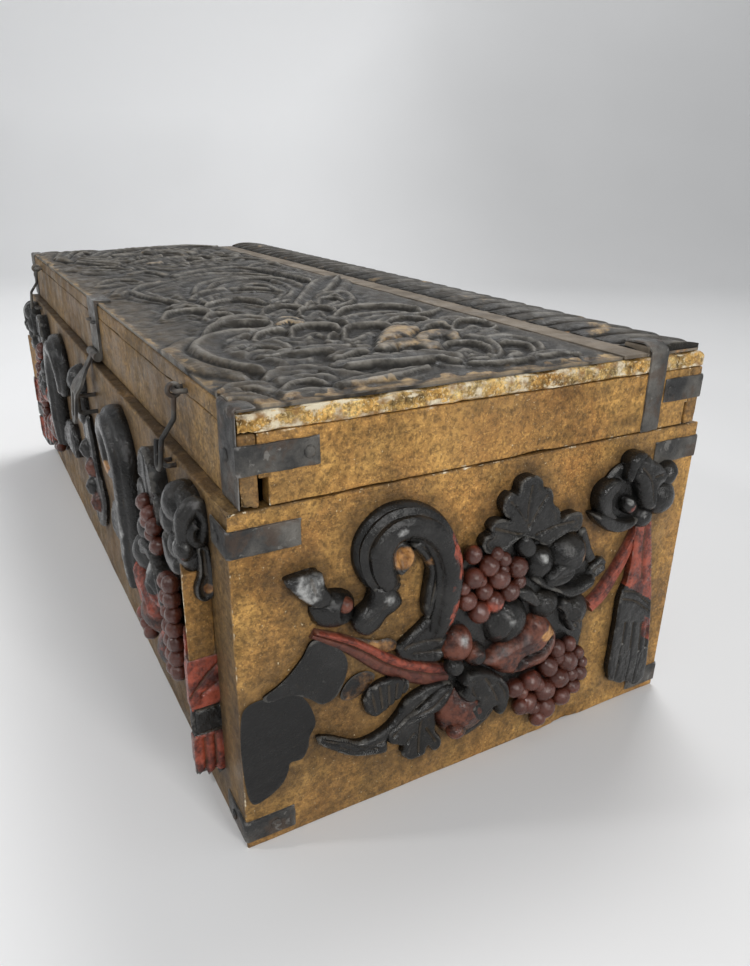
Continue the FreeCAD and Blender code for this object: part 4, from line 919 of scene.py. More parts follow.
# Strokes of the top: how each is cut, its height, its share of bare gold, and its line (u, v, half width).
TOP_STROKES = [
    ("ridge", 5.0, 0, [(-229, -110, 6), (-284, -91, 8), (-267, -75, 6)]),
    ("ridge", 5.2, 0, [(-218, -83, 7), (-280, -49, 9), (-301, -8, 9), (-310, 38, 9), (-289, 59, 6)]),
    ("gouge", 4.6, 0, [(-147, -65, 4), (-186, -27, 8), (-192, 9, 8), (-155, 28, 5)]),
    ("ridge", 4.2, 0, [(-167, 21, 5), (-178, 45, 6), (-151, 63, 4)]),
    ("gouge", 4.4, 0, [(-140, -108, 4), (-140, -90, 6), (-117, -73, 4)]),
    ("gouge", 4.6, 0, [(-36, -107, 4), (-48, -94, 7), (-37, -83, 4)]),
    ("ridge", 4.6, 0, [(24, -109, 4), (-2, -96, 7), (21, -93, 6), (53, -88, 5), (77, -76, 3)]),
    ("gouge", 4.4, 0.25, [(15, -95, 3), (-11, -77, 7), (-37, -52, 4)]),
    ("ridge", 4.4, 0.25, [(-88, -75, 4), (-97, -61, 6), (-71, -52, 4)]),
    ("ridge", 4.9, 0, [(-62, -46, 4), (-87, -18, 6), (-97, 17, 6), (-74, 33, 7), (-32, 42, 8), (11, 47, 7)]),
    ("gouge", 4.2, 0, [(-43, -49, 4), (-59, -22, 6), (-54, 6, 6), (-34, 21, 4)]),
    ("gouge", 4.0, 0, [(-99, 33, 4), (-117, 54, 7), (-89, 58, 3)]),
    ("scroll", 4.7, 0, [(78, -63, 4), (33, -54, 5), (-5, -35, 6), (-24, -5, 6), (-9, 15, 6), (24, 18, 6),
        (60, 9, 6), (88, -9, 5), (101, -31, 4)]),
    ("gouge", 4.0, 0.2, [(58, -65, 4), (36, -45, 7), (34, -26, 8), (41, -10, 6), (55, -2, 4)]),
    ("ridge", 3.6, 0.2, [(22, -27, 4), (7, -8, 5), (18, 4, 5), (46, 2, 4)]),
    ("gouge", 4.9, 0.3, [(100, -72, 4), (90, -57, 7), (87, -42, 8), (104, -34, 4)]),
    ("gouge", 5.0, 0.25, [(125, -102, 3), (115, -92, 7), (116, -82, 8), (132, -80, 3)]),
    ("gouge", 4.8, 0, [(135, -80, 3), (128, -72, 6), (143, -70, 3)]),
    ("ridge", 4.6, 0, [(92, -90, 4), (84, -80, 6), (95, -75, 4)]),
    ("scroll", 5.2, 0, [(127, -22, 4), (100, -3, 6), (65, 20, 8), (24, 47, 8), (-1, 66, 5)]),
    ("scroll", 4.6, 0, [(107, 2, 3), (85, 18, 5), (80, 30, 6), (103, 25, 5), (123, 9, 4), (127, -2, 3)]),
    ("gouge", 4.4, 0, [(116, 1, 2), (99, 15, 6), (109, 18, 3)]),
    ("gouge", 5.0, 0, [(133, -44, 3), (119, -31, 6), (123, -22, 6), (142, -24, 3)]),
    ("ridge", 4.4, 0.8, [(166, -51, 3), (157, -40, 7), (169, -38, 4)]),
    ("gouge", 5.0, 0, [(149, -26, 3), (134, -15, 6), (134, -7, 6), (158, -13, 3)]),
    ("ridge", 4.4, 0.25, [(162, -13, 4), (181, -11, 5), (191, -4, 4)]),
    ("gouge", 5.2, 0, [(160, -10, 3), (149, 9, 8), (148, 26, 10), (158, 38, 8), (176, 41, 3)]),
    ("ridge", 5.2, 0, [(207, -25, 3), (190, -7, 6), (177, 11, 7), (176, 26, 6), (175, 40, 4), (166, 56, 3)]),
    ("gouge", 4.8, 0, [(193, 8, 3), (188, 19, 6), (191, 27, 6), (205, 25, 3)]),
    ("gouge", 4.2, 0, [(209, -1, 3), (204, 9, 6), (212, 12, 3)]),
    ("ridge", 4.6, 0.2, [(205, 33, 3), (194, 49, 6), (203, 51, 5)]),
    ("ridge", 5.2, 0.35, [(215, 11, 4), (205, 26, 7), (206, 36, 8), (217, 37, 5)]),
    ("gouge", 4.8, 0, [(222, 34, 3), (210, 51, 7), (224, 52, 5)]),
    ("scroll", 4.8, 0, [(279, 1, 3), (262, 17, 5), (256, 30, 6), (258, 40, 6), (271, 42, 6), (285, 35, 5),
        (294, 23, 5), (295, 6, 5), (292, -6, 4), (283, -10, 3)]),
    ("gouge", 4.4, 0.2, [(278, 9, 4), (272, 22, 8), (274, 32, 8), (286, 31, 4)]),
    ("scroll", 5.0, 0, [(279, -9, 3), (266, -6, 5), (251, 5, 6), (245, 17, 7), (255, 21, 7), (272, 17, 6),
        (288, 9, 3)]),
    ("gouge", 4.6, 0, [(269, -4, 4), (260, 8, 7), (265, 13, 7), (279, 11, 3)]),
    ("ridge", 4.2, 0, [(294, 31, 5), (292, 43, 5), (297, 49, 4)]),
    ("ridge", 5.4, 0, [(154, -54, 3), (148, -61, 4), (150, -71, 5), (167, -85, 5), (191, -98, 4)]),
    ("gouge", 5.3, 0, [(198, -101, 3), (180, -89, 7), (168, -76, 10), (170, -64, 8)]),
    ("scroll", 5.0, 0, [(190, -69, 4), (188, -80, 6), (196, -93, 8), (213, -102, 10), (231, -104, 9),
        (249, -99, 9), (263, -92, 8), (273, -85, 5)]),
    ("ridge", 4.2, 0, [(214, -94, 3), (209, -83, 7), (213, -74, 7), (230, -72, 5), (244, -72, 3)]),
    ("gouge", 4.6, 0, [(227, -93, 2), (222, -83, 4), (228, -75, 3)]),
    ("gouge", 5.0, 0, [(204, -76, 3), (197, -67, 7), (197, -59, 10), (206, -54, 5)]),
    ("gouge", 5.2, 0, [(205, -55, 3), (192, -44, 8), (193, -37, 10), (211, -37, 5)]),
    ("gouge", 4.8, 0, [(220, -42, 3), (215, -34, 7), (226, -34, 3)]),
    ("gouge", 5.2, 0.25, [(221, -33, 3), (205, -17, 9), (205, -9, 10), (232, -16, 3)]),
    ("ridge", 5.0, 0, [(243, -89, 4), (238, -75, 6), (237, -62, 7), (239, -47, 6), (242, -35, 4)]),
    ("ridge", 4.8, 0, [(256, -58, 4), (249, -46, 5), (250, -39, 5), (257, -34, 4)]),
    ("ridge", 4.6, 0, [(264, -45, 3), (262, -36, 5), (266, -31, 4), (272, -28, 3)]),
    ("mound", 5.5, 0.55, [(248, -28, 4), (233, -14, 8), (217, 2, 9), (228, 1, 7), (243, -5, 3)]),
    ("mound", 5.2, 0.45, [(252, -31, 4), (247, -19, 7), (249, -10, 8), (258, -7, 6), (271, -11, 3)]),
    ("mound", 5.0, 0.5, [(241, -2, 4), (235, 8, 7), (235, 16, 8), (247, 15, 3)]),
    ("ridge", 5.4, 0, [(277, -75, 3), (273, -63, 6), (271, -49, 8), (273, -35, 9), (273, -21, 10),
        (277, -12, 9), (287, -12, 4)]),
    ("ridge", 5.0, 0, [(280, -101, 3), (273, -92, 6), (272, -82, 7), (282, -75, 7), (290, -69, 6),
        (291, -59, 5)]),
    ("ridge", 4.6, 0, [(295, -106, 4), (287, -97, 6), (286, -89, 7), (290, -81, 7), (299, -77, 4)]),
    ("gouge", 4.2, 0, [(298, -101, 3), (294, -90, 6), (299, -84, 4)]),
    ("ridge", 4.2, 0, [(299, -77, 3), (297, -66, 5), (294, -48, 5), (290, -32, 3)]),
    ("ridge", 3.2, 0, [(287, -122, 3), (283, -114, 6), (284, -107, 5), (292, -106, 3)]),
    ("ridge", 2.6, 0, [(297, -129, 3), (295, -120, 5), (300, -113, 5), (309, -111, 3)]),
]
SLITS = [[(232, -68), (241, -71)], [(236, -39), (244, -42)], [(252, -22), (257, -25)],
    [(286, -115), (311, -104)], [(300, 47), (311, 49)], [(277, -77), (281, -79)]]


class Relief:
    """A carved face kept as heights over a grid, cut stroke by stroke."""

    SECTIONS = {"ridge": ([-1, -0.95, -0.84, -0.62, -0.3, 0.05, 0.35, 0.62, 0.82, 0.95, 1], [0.02, 0.72, 1.0,
        0.93, 0.62, 0.46, 0.52, 0.70, 0.64, 0.40, 0.02]),
        "scroll": ([-1, -0.94, -0.80, -0.58, -0.2, 0.2, 0.55, 0.80, 0.94, 1],
        [0.02, 0.72, 1.0, 0.86, 0.46, 0.42, 0.74, 0.98, 0.70, 0.02]),
        "mound": ([-1, -0.85, -0.5, 0.1, 0.5, 0.8, 1], [0.1, 0.62, 0.94, 1.0, 0.95, 0.7, 0.35]),
        "swell": ([-1, -0.94, -0.75, -0.35, 0.2, 0.6, 0.85, 0.95, 1],
        [0.0, 0.55, 0.86, 1.0, 0.82, 0.50, 0.38, 0.30, 0.0]),
        "gouge": ([-1, -0.6, -0.15, 0.3, 0.60, 0.70, 0.80, 1.0],
        [0.62, 0.46, 0.20, 0.03, 0.05, 0.90, 1.0, 0.66])}

    def __init__(self, across, up):
        self.across, self.up = across, up
        self.u, self.v = np.meshgrid(across, up, indexing="ij")
        self.h = np.zeros_like(self.u)
        self.bare = np.zeros_like(self.u)

    def near(self, line, reach):
        """The part of the grid round a line, with how far along it each place is and how far to its side."""
        i = slice(*np.searchsorted(self.across, [line[:, 0].min() - reach, line[:, 0].max() + reach]))
        j = slice(*np.searchsorted(self.up, [line[:, 1].min() - reach, line[:, 1].max() + reach]))
        places = np.stack([self.u[i, j].ravel(), self.v[i, j].ravel()], axis=1)
        a, run = line[:-1, :2], np.diff(line[:, :2], axis=0)
        offset = places[:, None] - a[None]
        share = limited((offset * run).sum(axis=2) / (run ** 2).sum(axis=1))
        gap = offset - share[:, :, None] * run
        far = np.hypot(gap[:, :, 0], gap[:, :, 1])
        best = far.argmin(axis=1)
        pick = np.arange(len(places)), best
        side = np.sign(run[best, 0] * gap[pick][:, 1] - run[best, 1] * gap[pick][:, 0])
        return i, j, best + share[pick], far[pick] * np.where(side == 0, 1, side)

    def stroke(self, kind, height, bare, line, seed):
        line = round_line(line, 1.6)
        i, j, along, aside = self.near(line, 1.5 * line[:, 2].max() + 4.0)
        if not len(along):
            return
        wide = np.interp(along, np.arange(len(line)), line[:, 2]) * 1.26
        notch = np.abs(np.sin(np.pi * (along * 1.6 + 0.9 * np.abs(aside)) / (11.0 if kind == "swell"
            else 8.0)))
        leafy = (kind != "scroll") * limited(wide.max() / 5 - 1)
        if kind != "gouge":
            wide = wide * (1 - 0.24 * leafy * (1 - notch) * (aside > 0))
        t = aside / wide
        spots = columns(self.u[i, j].ravel(), self.v[i, j].ravel())
        t = t + 0.05 * lumps(spots, 9.0, seed)
        knots, levels = self.SECTIONS[kind]
        made = height * np.interp(t, knots, levels)
        if kind in ("ridge", "scroll", "mound"):
            made -= 0.45 * bell((t + 0.45) / 0.06) + 0.35 * bell((t - 0.12) / 0.06)
        veined = limited((0.5 - t) * 3) if kind == "gouge" else limited((t + 0.25) * 3)
        made -= 0.16 * height * leafy * bell(notch / 0.24) * veined
        shape = self.h[i, j].shape
        inside = np.abs(t) < 1
        outside = np.clip((np.abs(t) - 1) * wide, 0, None)
        old = self.h[i, j].ravel() * (1 - 0.78 * bell(outside / 1.9))
        self.h[i, j] = np.where(inside, made, old).reshape(shape)
        crest = bare * limited((made / height - 0.45) * 2.2) * inside
        self.bare[i, j] = np.where(inside, crest, self.bare[i, j].ravel()).reshape(shape)

    def slit(self, line, wide=0.7, depth=3.2):
        i, j, _, aside = self.near(round_line(line, 1.0), 4.0)
        self.h[i, j] -= (depth * bell(aside / wide)).reshape(self.h[i, j].shape)

    def softened(self, times):
        h = self.h
        for _ in range(times):
            h = np.pad(h, 1, mode="edge")
            h = (h[:-2] + 2 * h[1:-1] + h[2:]) / 4
            h = (h[:, :-2] + 2 * h[:, 1:-1] + h[:, 2:]) / 4
        return h


def carve_top():
    """Scrolls, gouged leaves and fruit of the lid's top, cut in one board, pale on their crests from wear and
    painted highlight, with painted shade in their hollows.
    """
    top = Relief(np.concatenate([np.arange(-FIELD_END, 0, 1.8), np.arange(0, FIELD_END + 0.1, 1.15)]),
        np.arange(-125.5, FILLET_FRONT + 0.1, 1.2))
    spots = columns(top.u.ravel(), top.v.ravel())
    shape = top.u.shape
    border = limited((top.v + 122) / 26) * limited((FILLET_FRONT - top.v) / 9)
    top.h += 0.35 + 1.35 * border * border * (3 - 2 * border)
    far = [(kind, height, 0.6 * bare,
        [(-u, v, half) for u, v, half in line]) for kind, height, bare, line in TOP_STROKES
        if min(u for u, v, half in line) > 88 and max(u for u, v, half in line) < 290]
    strokes = far[::-1] + TOP_STROKES
    drawn = columns(spots[:, 0] * 0.42 + spots[:, 1] * 0.25, spots[:, 1] * 0.9 - spots[:, 0] * 0.2)
    top.h += (0.45 * border.ravel() * lumps(drawn, 12.0, 3.0)).reshape(shape)
    for number, (kind, height, bare, line) in enumerate(strokes):
        if height > 4.0:
            broad = [(u, v, half * (2.1 if u > 0 else 2.6)) for u, v, half in line]
            top.stroke("swell", 0.58 * height, 0.0, broad, number + 90.5)
    for number, (kind, height, bare, line) in enumerate(strokes):
        top.stroke(kind, height, bare, line, number + 0.5)
    top.h += (0.26 * lumps(spots, 8.0, 5.0) + 0.20 * lumps(spots, 3.2, 6.0)).reshape(shape)
    plain = 1 - limited((top.v + 118) / 22)
    lines = columns(spots[:, 0] * 0.10, spots[:, 1])
    top.h += (0.45 * plain.ravel() * lumps(lines, 1.9, 8.0)).reshape(shape)
    top.h = np.clip(top.softened(1), 0.15, 5.5)
    for line in SLITS:
        top.slit(line)
    worn_edge = limited((top.u - 303.5 + 2.6 * lumps(spots, 11.0, 9.0).reshape(shape) + 1.5
        * lumps(spots, 4.0, 2.0).reshape(shape)) / 3.0)
    top.h = np.clip(top.h * (1 - 0.55 * worn_edge), 0.1, 5.5)
    ragged = lumps(spots, 9.0, 4.0).reshape(shape) + 0.6 * lumps(spots, 3.0, 7.0).reshape(shape)
    top.bare = np.maximum(top.bare, limited((top.u - 303.0 + 4.5 * ragged) / 2.5))
    top.bare = np.maximum(top.bare, 0.75 * limited((-121.5 - top.v + 3.0 * ragged) / 2.0))
    # Painted shade in the hollows, from how far each place lies below its smoothed surroundings; pale crests,
    # partly wear and partly painted highlight, where it stands above them.
    around = top.softened(9)
    wider = top.softened(40)
    painted_hollow_shade = limited((around - top.h) / 0.55) * 0.8 + limited((wider - top.h) / 1.1) * 0.9
    proud = limited((top.h - around - 0.22) / 0.45) + limited((top.h - 4.2) / 1.3) * 0.3
    index = np.arange(top.h.size).reshape(shape)
    quads = np.stack([index[:-1, :-1], index[1:, :-1], index[1:, 1:], index[:-1, 1:]], axis=-1).reshape(-1, 4)
    rim = np.concatenate([index[:-1, 0], index[-1, :-1], index[:0:-1, -1], index[0, :0:-1]])
    ahead = np.roll(rim, -1)
    foot = top.h.size + np.arange(len(rim))
    walls = columns(ahead, rim, foot, np.roll(foot, -1))
    points = columns(spots, top.h.ravel())
    feet = points[rim] * (1, 1, 0) + (0, 0, TOP_BOARD - PANEL_TOP)
    table = {"shade": np.append(painted_hollow_shade.ravel(), painted_hollow_shade.ravel()[rim]), "crest": np.append(proud.ravel(), 0 * rim),
        "bare": np.append(top.bare.ravel(), 0 * rim), "dust": np.append((1 - border).ravel(), 1 + 0 * rim)}
    shells = Shells()
    shells.add(np.vstack([points, feet]), [quads, walls, foot[::-1][None, :]],
        {name: (lambda u, v, w, held=held: held) for name, held in table.items()})
    set_in(shells, "carved_top", on_lid, TOP_BLACK, "lid", ["lid_carved_panel"], sharp=75)

    board("plain_fillet", "lid_fillet", (-FIELD_END, FILLET_FRONT, TOP_BOARD),
        (FIELD_END, FILLET_BACK, 213.1), TOP_GROUND, "lid", "black_top", seed=23.0, rounding=0.7, nicks=0.4,
        step=6.0)


# ---------------------------------------------------------------- repeated pieces by geometry nodes

def row_of_slanted_lobes():
    """Rounded lobes side by side along X, leaning over the width of a band, all of one closed form."""
    bench, given, made = effect("Row of slanted lobes", [("Geometry", SHAPE, None), ("Count", WHOLE, 32),
        ("Pitch", FLOAT, 0.0185), ("Lobe width", FLOAT, 0.0165), ("Band front", FLOAT, 0.087),
        ("Band back", FLOAT, 0.1235), ("Lean", FLOAT, 0.42), ("Foot", FLOAT, 0.2109), ("Rise", FLOAT, 0.006),
        ("Half length", FLOAT, 0.3095), ("Unevenness", FLOAT, 0.0006), ("Material", COATING, None)],
        [("Geometry", SHAPE)], "GeometryNodeTree")
    span = bench.less(given["Band back"], given["Band front"])
    run = bench.times(given["Pitch"], bench.less(given["Count"], 1.0))
    row = bench.put("GeometryNodeMeshLine", {"Count": given["Count"],
        "Start Location": bench.joined(X=bench.times(run, -0.5)), "Offset": bench.joined(X=given["Pitch"])})
    block = bench.put("GeometryNodeMeshCube", {"Size": (1.0, 1.0, 1.0), "Vertices X": 13, "Vertices Y": 27,
        "Vertices Z": 3})
    x, y, z = bench.parted(bench.put("GeometryNodeInputPosition").outputs[0])
    along = bench.plus(y, 0.5)
    bulge = bench.times(bench.sum("POWER", bench.sum("ABSOLUTE", bench.times(x, 2.0)), 2.0), 0.92)
    round_over = bench.sum("SQRT", bench.sum("MAXIMUM", bench.less(1.0, bulge), 0.0))
    swell = bench.sum("SINE", bench.times(bench.sum("POWER", along, 0.8), 2.75))
    crown = bench.plus(0.42, bench.times(0.58, swell))
    level = bench.times(bench.times(round_over, crown), given["Rise"])
    lean = bench.times(bench.times(bench.less(0.5, along), span), bench.sum("TANGENT", given["Lean"]))
    shaped = bench.joined(X=bench.plus(bench.times(x, given["Lobe width"]), lean),
        Y=bench.plus(given["Band front"], bench.times(along, span)),
        Z=bench.plus(given["Foot"], bench.times(bench.plus(z, 0.5), level)))
    lobe = bench.put("GeometryNodeSetPosition", {"Geometry": block.outputs["Mesh"], "Position": shaped})
    lobes = bench.put("GeometryNodeInstanceOnPoints", {"Points": row.outputs["Mesh"],
        "Instance": lobe.outputs["Geometry"]})
    real = bench.put("GeometryNodeRealizeInstances", {"Geometry": lobes.outputs["Instances"]})
    spot = bench.put("GeometryNodeInputPosition").outputs[0]
    rough = bench.put("ShaderNodeTexNoise", {"Vector": spot, "Scale": 90.0, "Detail": 2.0}).outputs["Color"]
    shift = bench.scaled(bench.vector("SUBTRACT", rough, (0.5, 0.5, 0.75)), given["Unevenness"])
    x, y, z = bench.parted(bench.vector("ADD", spot, shift))
    half = given["Half length"]
    kept = bench.joined(X=bench.sum("MAXIMUM", bench.sum("MINIMUM", x, half), bench.times(half, -1.0)),
        Y=bench.sum("MAXIMUM", y, given["Band front"]), Z=bench.sum("MAXIMUM", z, given["Foot"]))
    cut = bench.put("GeometryNodeSetPosition", {"Geometry": real.outputs[0], "Position": kept})
    coated = bench.put("GeometryNodeSetMaterial", {"Geometry": cut.outputs[0], "Material": given["Material"]})
    bench.feed(made["Geometry"], coated.outputs[0])
    return bench.tree


def bunch_of_beads():
    """A bead, grape or nail head on every point, each with its own size, all slightly uneven."""
    bench, given, made = effect("Beads on points", [("Geometry", SHAPE, None), ("Fineness", WHOLE, 3),
        ("Unevenness", FLOAT, 0.10), ("Seed", WHOLE, 1), ("Material", COATING, None)], [("Geometry", SHAPE)],
        "GeometryNodeTree")
    ball = bench.put("GeometryNodeMeshIcoSphere", {"Radius": 1.0, "Subdivisions": given["Fineness"]})
    size, turn = (bench.put("GeometryNodeInputNamedAttribute", {"Name": name},
        data_type="FLOAT_VECTOR").outputs["Attribute"] for name in ("size", "turn"))
    beads = bench.put("GeometryNodeInstanceOnPoints", {"Points": given["Geometry"],
        "Instance": ball.outputs["Mesh"], "Rotation": turn, "Scale": size})
    real = bench.put("GeometryNodeRealizeInstances", {"Geometry": beads.outputs["Instances"]})
    spot = bench.put("GeometryNodeInputPosition").outputs[0]
    rough = bench.put("ShaderNodeTexNoise", {"Vector": spot, "W": given["Seed"], "Scale": 170.0,
        "Detail": 2.0}, noise_dimensions="4D").outputs["Color"]
    shift = bench.scaled(bench.vector("SUBTRACT", rough, (0.5, 0.5, 0.5)),
        bench.times(given["Unevenness"], 0.01))
    moved = bench.put("GeometryNodeSetPosition", {"Geometry": real.outputs[0], "Offset": shift})
    smooth = bench.put("GeometryNodeSetShadeSmooth", {"Geometry": moved.outputs[0]})
    coated = bench.put("GeometryNodeSetMaterial", {"Geometry": smooth.outputs[0],
        "Material": given["Material"]})
    bench.feed(made["Geometry"], coated.outputs[0])
    return bench.tree


def grow(name, seed_mesh, tree, body, slot, nodes, **inputs):
    """Runs a tree of geometry nodes on a mesh and keeps the plain mesh that it makes."""
    holder = show(name + "_points", seed_mesh)
    modifier = holder.modifiers.new("made", "NODES")
    modifier.node_group = tree
    sockets = {item.name: item.identifier for item in tree.interface.items_tree if item.in_out == "INPUT"}
    for key, value in inputs.items():
        modifier[sockets[key.replace("_", " ")]] = value
    bpy.context.view_layer.update()
    mesh = bpy.data.meshes.new_from_object(holder.evaluated_get(bpy.context.evaluated_depsgraph_get()))
    mesh.name = name
    bpy.data.objects.remove(holder)
    mark_wear(mesh)
    return settle(show(name, mesh), body, nodes)


LOBES, BEADS = row_of_slanted_lobes(), bunch_of_beads()


def beads(name, spots, place, material, body, slot, nodes, seed):
    """Beads at spots (u, v, w, radii, turn) on a carved face."""
    spots = list(spots)
    mesh = bpy.data.meshes.new(name + "_spots")
    centres = place(np.array([spot[:3] for spot in spots], float)) * MM
    mesh.from_pydata(centres.tolist(), [], [])
    size = mesh.attributes.new("size", "FLOAT_VECTOR", "POINT")
    turn = mesh.attributes.new("turn", "FLOAT_VECTOR", "POINT")
    for number, spot in enumerate(spots):
        size.data[number].vector = [value * MM for value in spot[3]]
        turn.data[number].vector = spot[4]
    obj = grow(name, mesh, BEADS, body, slot, nodes, Fineness=3, Seed=seed, Material=material)
    if place in CARVED_SIDES:
        spots = read(obj.data) / MM
        out = np.abs(spots[:, 0]) - END_FACE if place in CARVED_ENDS else -spots[:, 1] - FRONT_FACE
        # Painted shade on the low sides of the grapes next to the board, and red and grey patches at random.
        for paint, share in (("shade", limited((7.4 - out) / 4.0) * 0.85),
                ("red", limited(lumps(spots, 9.0, seed) - 0.1) * 0.7),
                ("silver", limited(lumps(spots, 6.0, seed + 4) - 0.5) * 0.6)):
            store(obj.data, paint, share)
    return obj


def make_gadroon():
    """The band of slanted lobes along the lid's back edge, on its low ground."""
    foot, rise = 211.1, 5.8
    shells = Shells()
    worn_block(shells, (-FIELD_END, FILLET_BACK, TOP_BOARD), (FIELD_END, 123.4, 212.6), rounding=0.5,
        nicks=0.2, step=6.0, seed=24.0, bare=0.28)
    worn_block(shells, (292.5, 87.6, TOP_BOARD), (309.6, 100.6, 215.7), rounding=1.2, nicks=0.3, step=3.0,
        seed=25.0)
    set_in(shells, "gadroon_ground", as_is, TOP_GROUND, "lid", ["lid_gadroon_band"])
    point = bpy.data.meshes.new("gadroon_start")
    point.from_pydata([(0, 0, 0)], [], [])
    obj = grow("gadroon_lobes", point, LOBES, "lid", "black_top", ["lid_gadroon_band"], Count=34,
        Pitch=0.0185, Lobe_width=0.0172, Band_front=0.0872, Band_back=0.1233, Foot=foot * MM, Rise=rise * MM,
        Lean=-0.52, Material=TOP_BLACK)
    obj.data.shade_smooth()
    obj.data.set_sharp_from_angle(angle=math.radians(50))
    spots = read(obj.data) / MM
    up = (spots[:, 2] - foot) / rise
    uneven_up = up + 0.10 * lumps(spots, 7.0, 5.0)
    # Painted shade low between the lobes, pale crests that are partly wear and partly painted highlight, and
    # patches of bare gold.
    for paint, share in (("shade", limited((0.62 - uneven_up) / 0.3)),
            ("crest", limited((uneven_up - 0.84) / 0.12) * 0.8),
            ("bare", limited(lumps(spots, 16.0, 8.0) - 0.25) * 0.7)):
        store(obj.data, paint, share)


# ---------------------------------------------------------------- carving of the ends

# Outlines of the end's carving, seen from outside: u along the end, v up it.
VINE_LEAF = [(17, 163), (12, 163.5), (7.5, 161.5), (6, 156), (2.5, 157), (-1.5, 154), (-2, 149.5),
    (-0.5, 146), (3, 143), (-2.5, 144.5), (-6, 144), (-8.5, 141), (-7.5, 138), (-10.5, 137), (-12.5, 133.5),
    (-10, 128.5), (-5, 127), (1, 127), (5.5, 129.5), (9.5, 131.5), (14.5, 131), (19, 129), (27, 124),
    (36, 126.5), (41.5, 128), (47.5, 127.5), (50, 133), (48, 137.5), (40, 138), (35.5, 136.5), (33.5, 142),
    (29, 146.5), (28.5, 150.5), (26.5, 154.5), (22, 156.5), (20.5, 160)]
CLOTH = [(-7.5, 66), (-2, 70.5), (4.5, 74.5), (11, 75.5), (18, 77), (21.5, 83), (28, 84), (35.5, 78),
    (40.5, 68.5), (39.5, 60), (33.5, 54), (24, 52), (14, 52), (4.5, 55.5), (-2, 61)]
CLOTH_FOLD = [(15, 56), (18, 61), (24, 61.5), (30, 62.5), (35.5, 68)]
LEAF_CAP = [(-21.5, 60), (-18, 64.5), (-10.5, 64.5), (-1, 59.5), (7, 52), (9.5, 42), (6.5, 33.5), (3, 32.5),
    (0.5, 39), (-3.5, 37.5), (-6, 33), (-10.5, 34), (-15.5, 40), (-15.5, 44.5), (-11.5, 46), (-18, 48),
    (-21.5, 53), (-19, 56.5)]
# Grapes of the end as (u, v, radius).
UPPER_GRAPES = [(-17.5, 129.5, 4.6), (-8, 121.5, 5.3), (0.5, 123, 3.9), (10, 116, 5.6), (-16.5, 117, 5.2),
    (-1, 113, 6.0), (-9.5, 108, 4.7), (6, 104, 5.3), (11.5, 108, 3.7), (-19, 105, 4.9), (-3.5, 100.5, 5.5),
    (-11.5, 97, 5.7), (-21.5, 112.5, 3.4), (1, 117.5, 3.2), (-4, 127, 3.6), (-12, 114, 3.4)]
LOWER_GRAPES = [(43.5, 57.5, 5.3), (51.5, 58.5, 4.6), (58.5, 51, 4.0), (38.5, 48, 6.3), (52, 47.5, 6.8),
    (61.5, 37, 4.8), (27, 43, 6.5), (47, 38, 6.5), (57.5, 29.5, 4.8), (16.5, 41.5, 5.7), (37.5, 33, 6.7),
    (50, 25, 5.5), (26, 28.5, 6.2), (39.5, 21, 6.1), (34, 16.5, 5.0), (22, 36.5, 4.1), (63, 43, 3.7),
    (20.5, 29, 4.8), (45, 51.5, 4.4), (32, 39, 4.6), (55, 38.5, 4.6), (31.5, 23.5, 4.6)]


def near_spot(u, v, reach, most=1.0, tall=1.0):
    """A share of paint that is fullest at one spot of a carved face and fades round it."""
    return lambda a, b, c: most * limited(1 - np.hypot(a - u, (b - v) / tall) / reach)


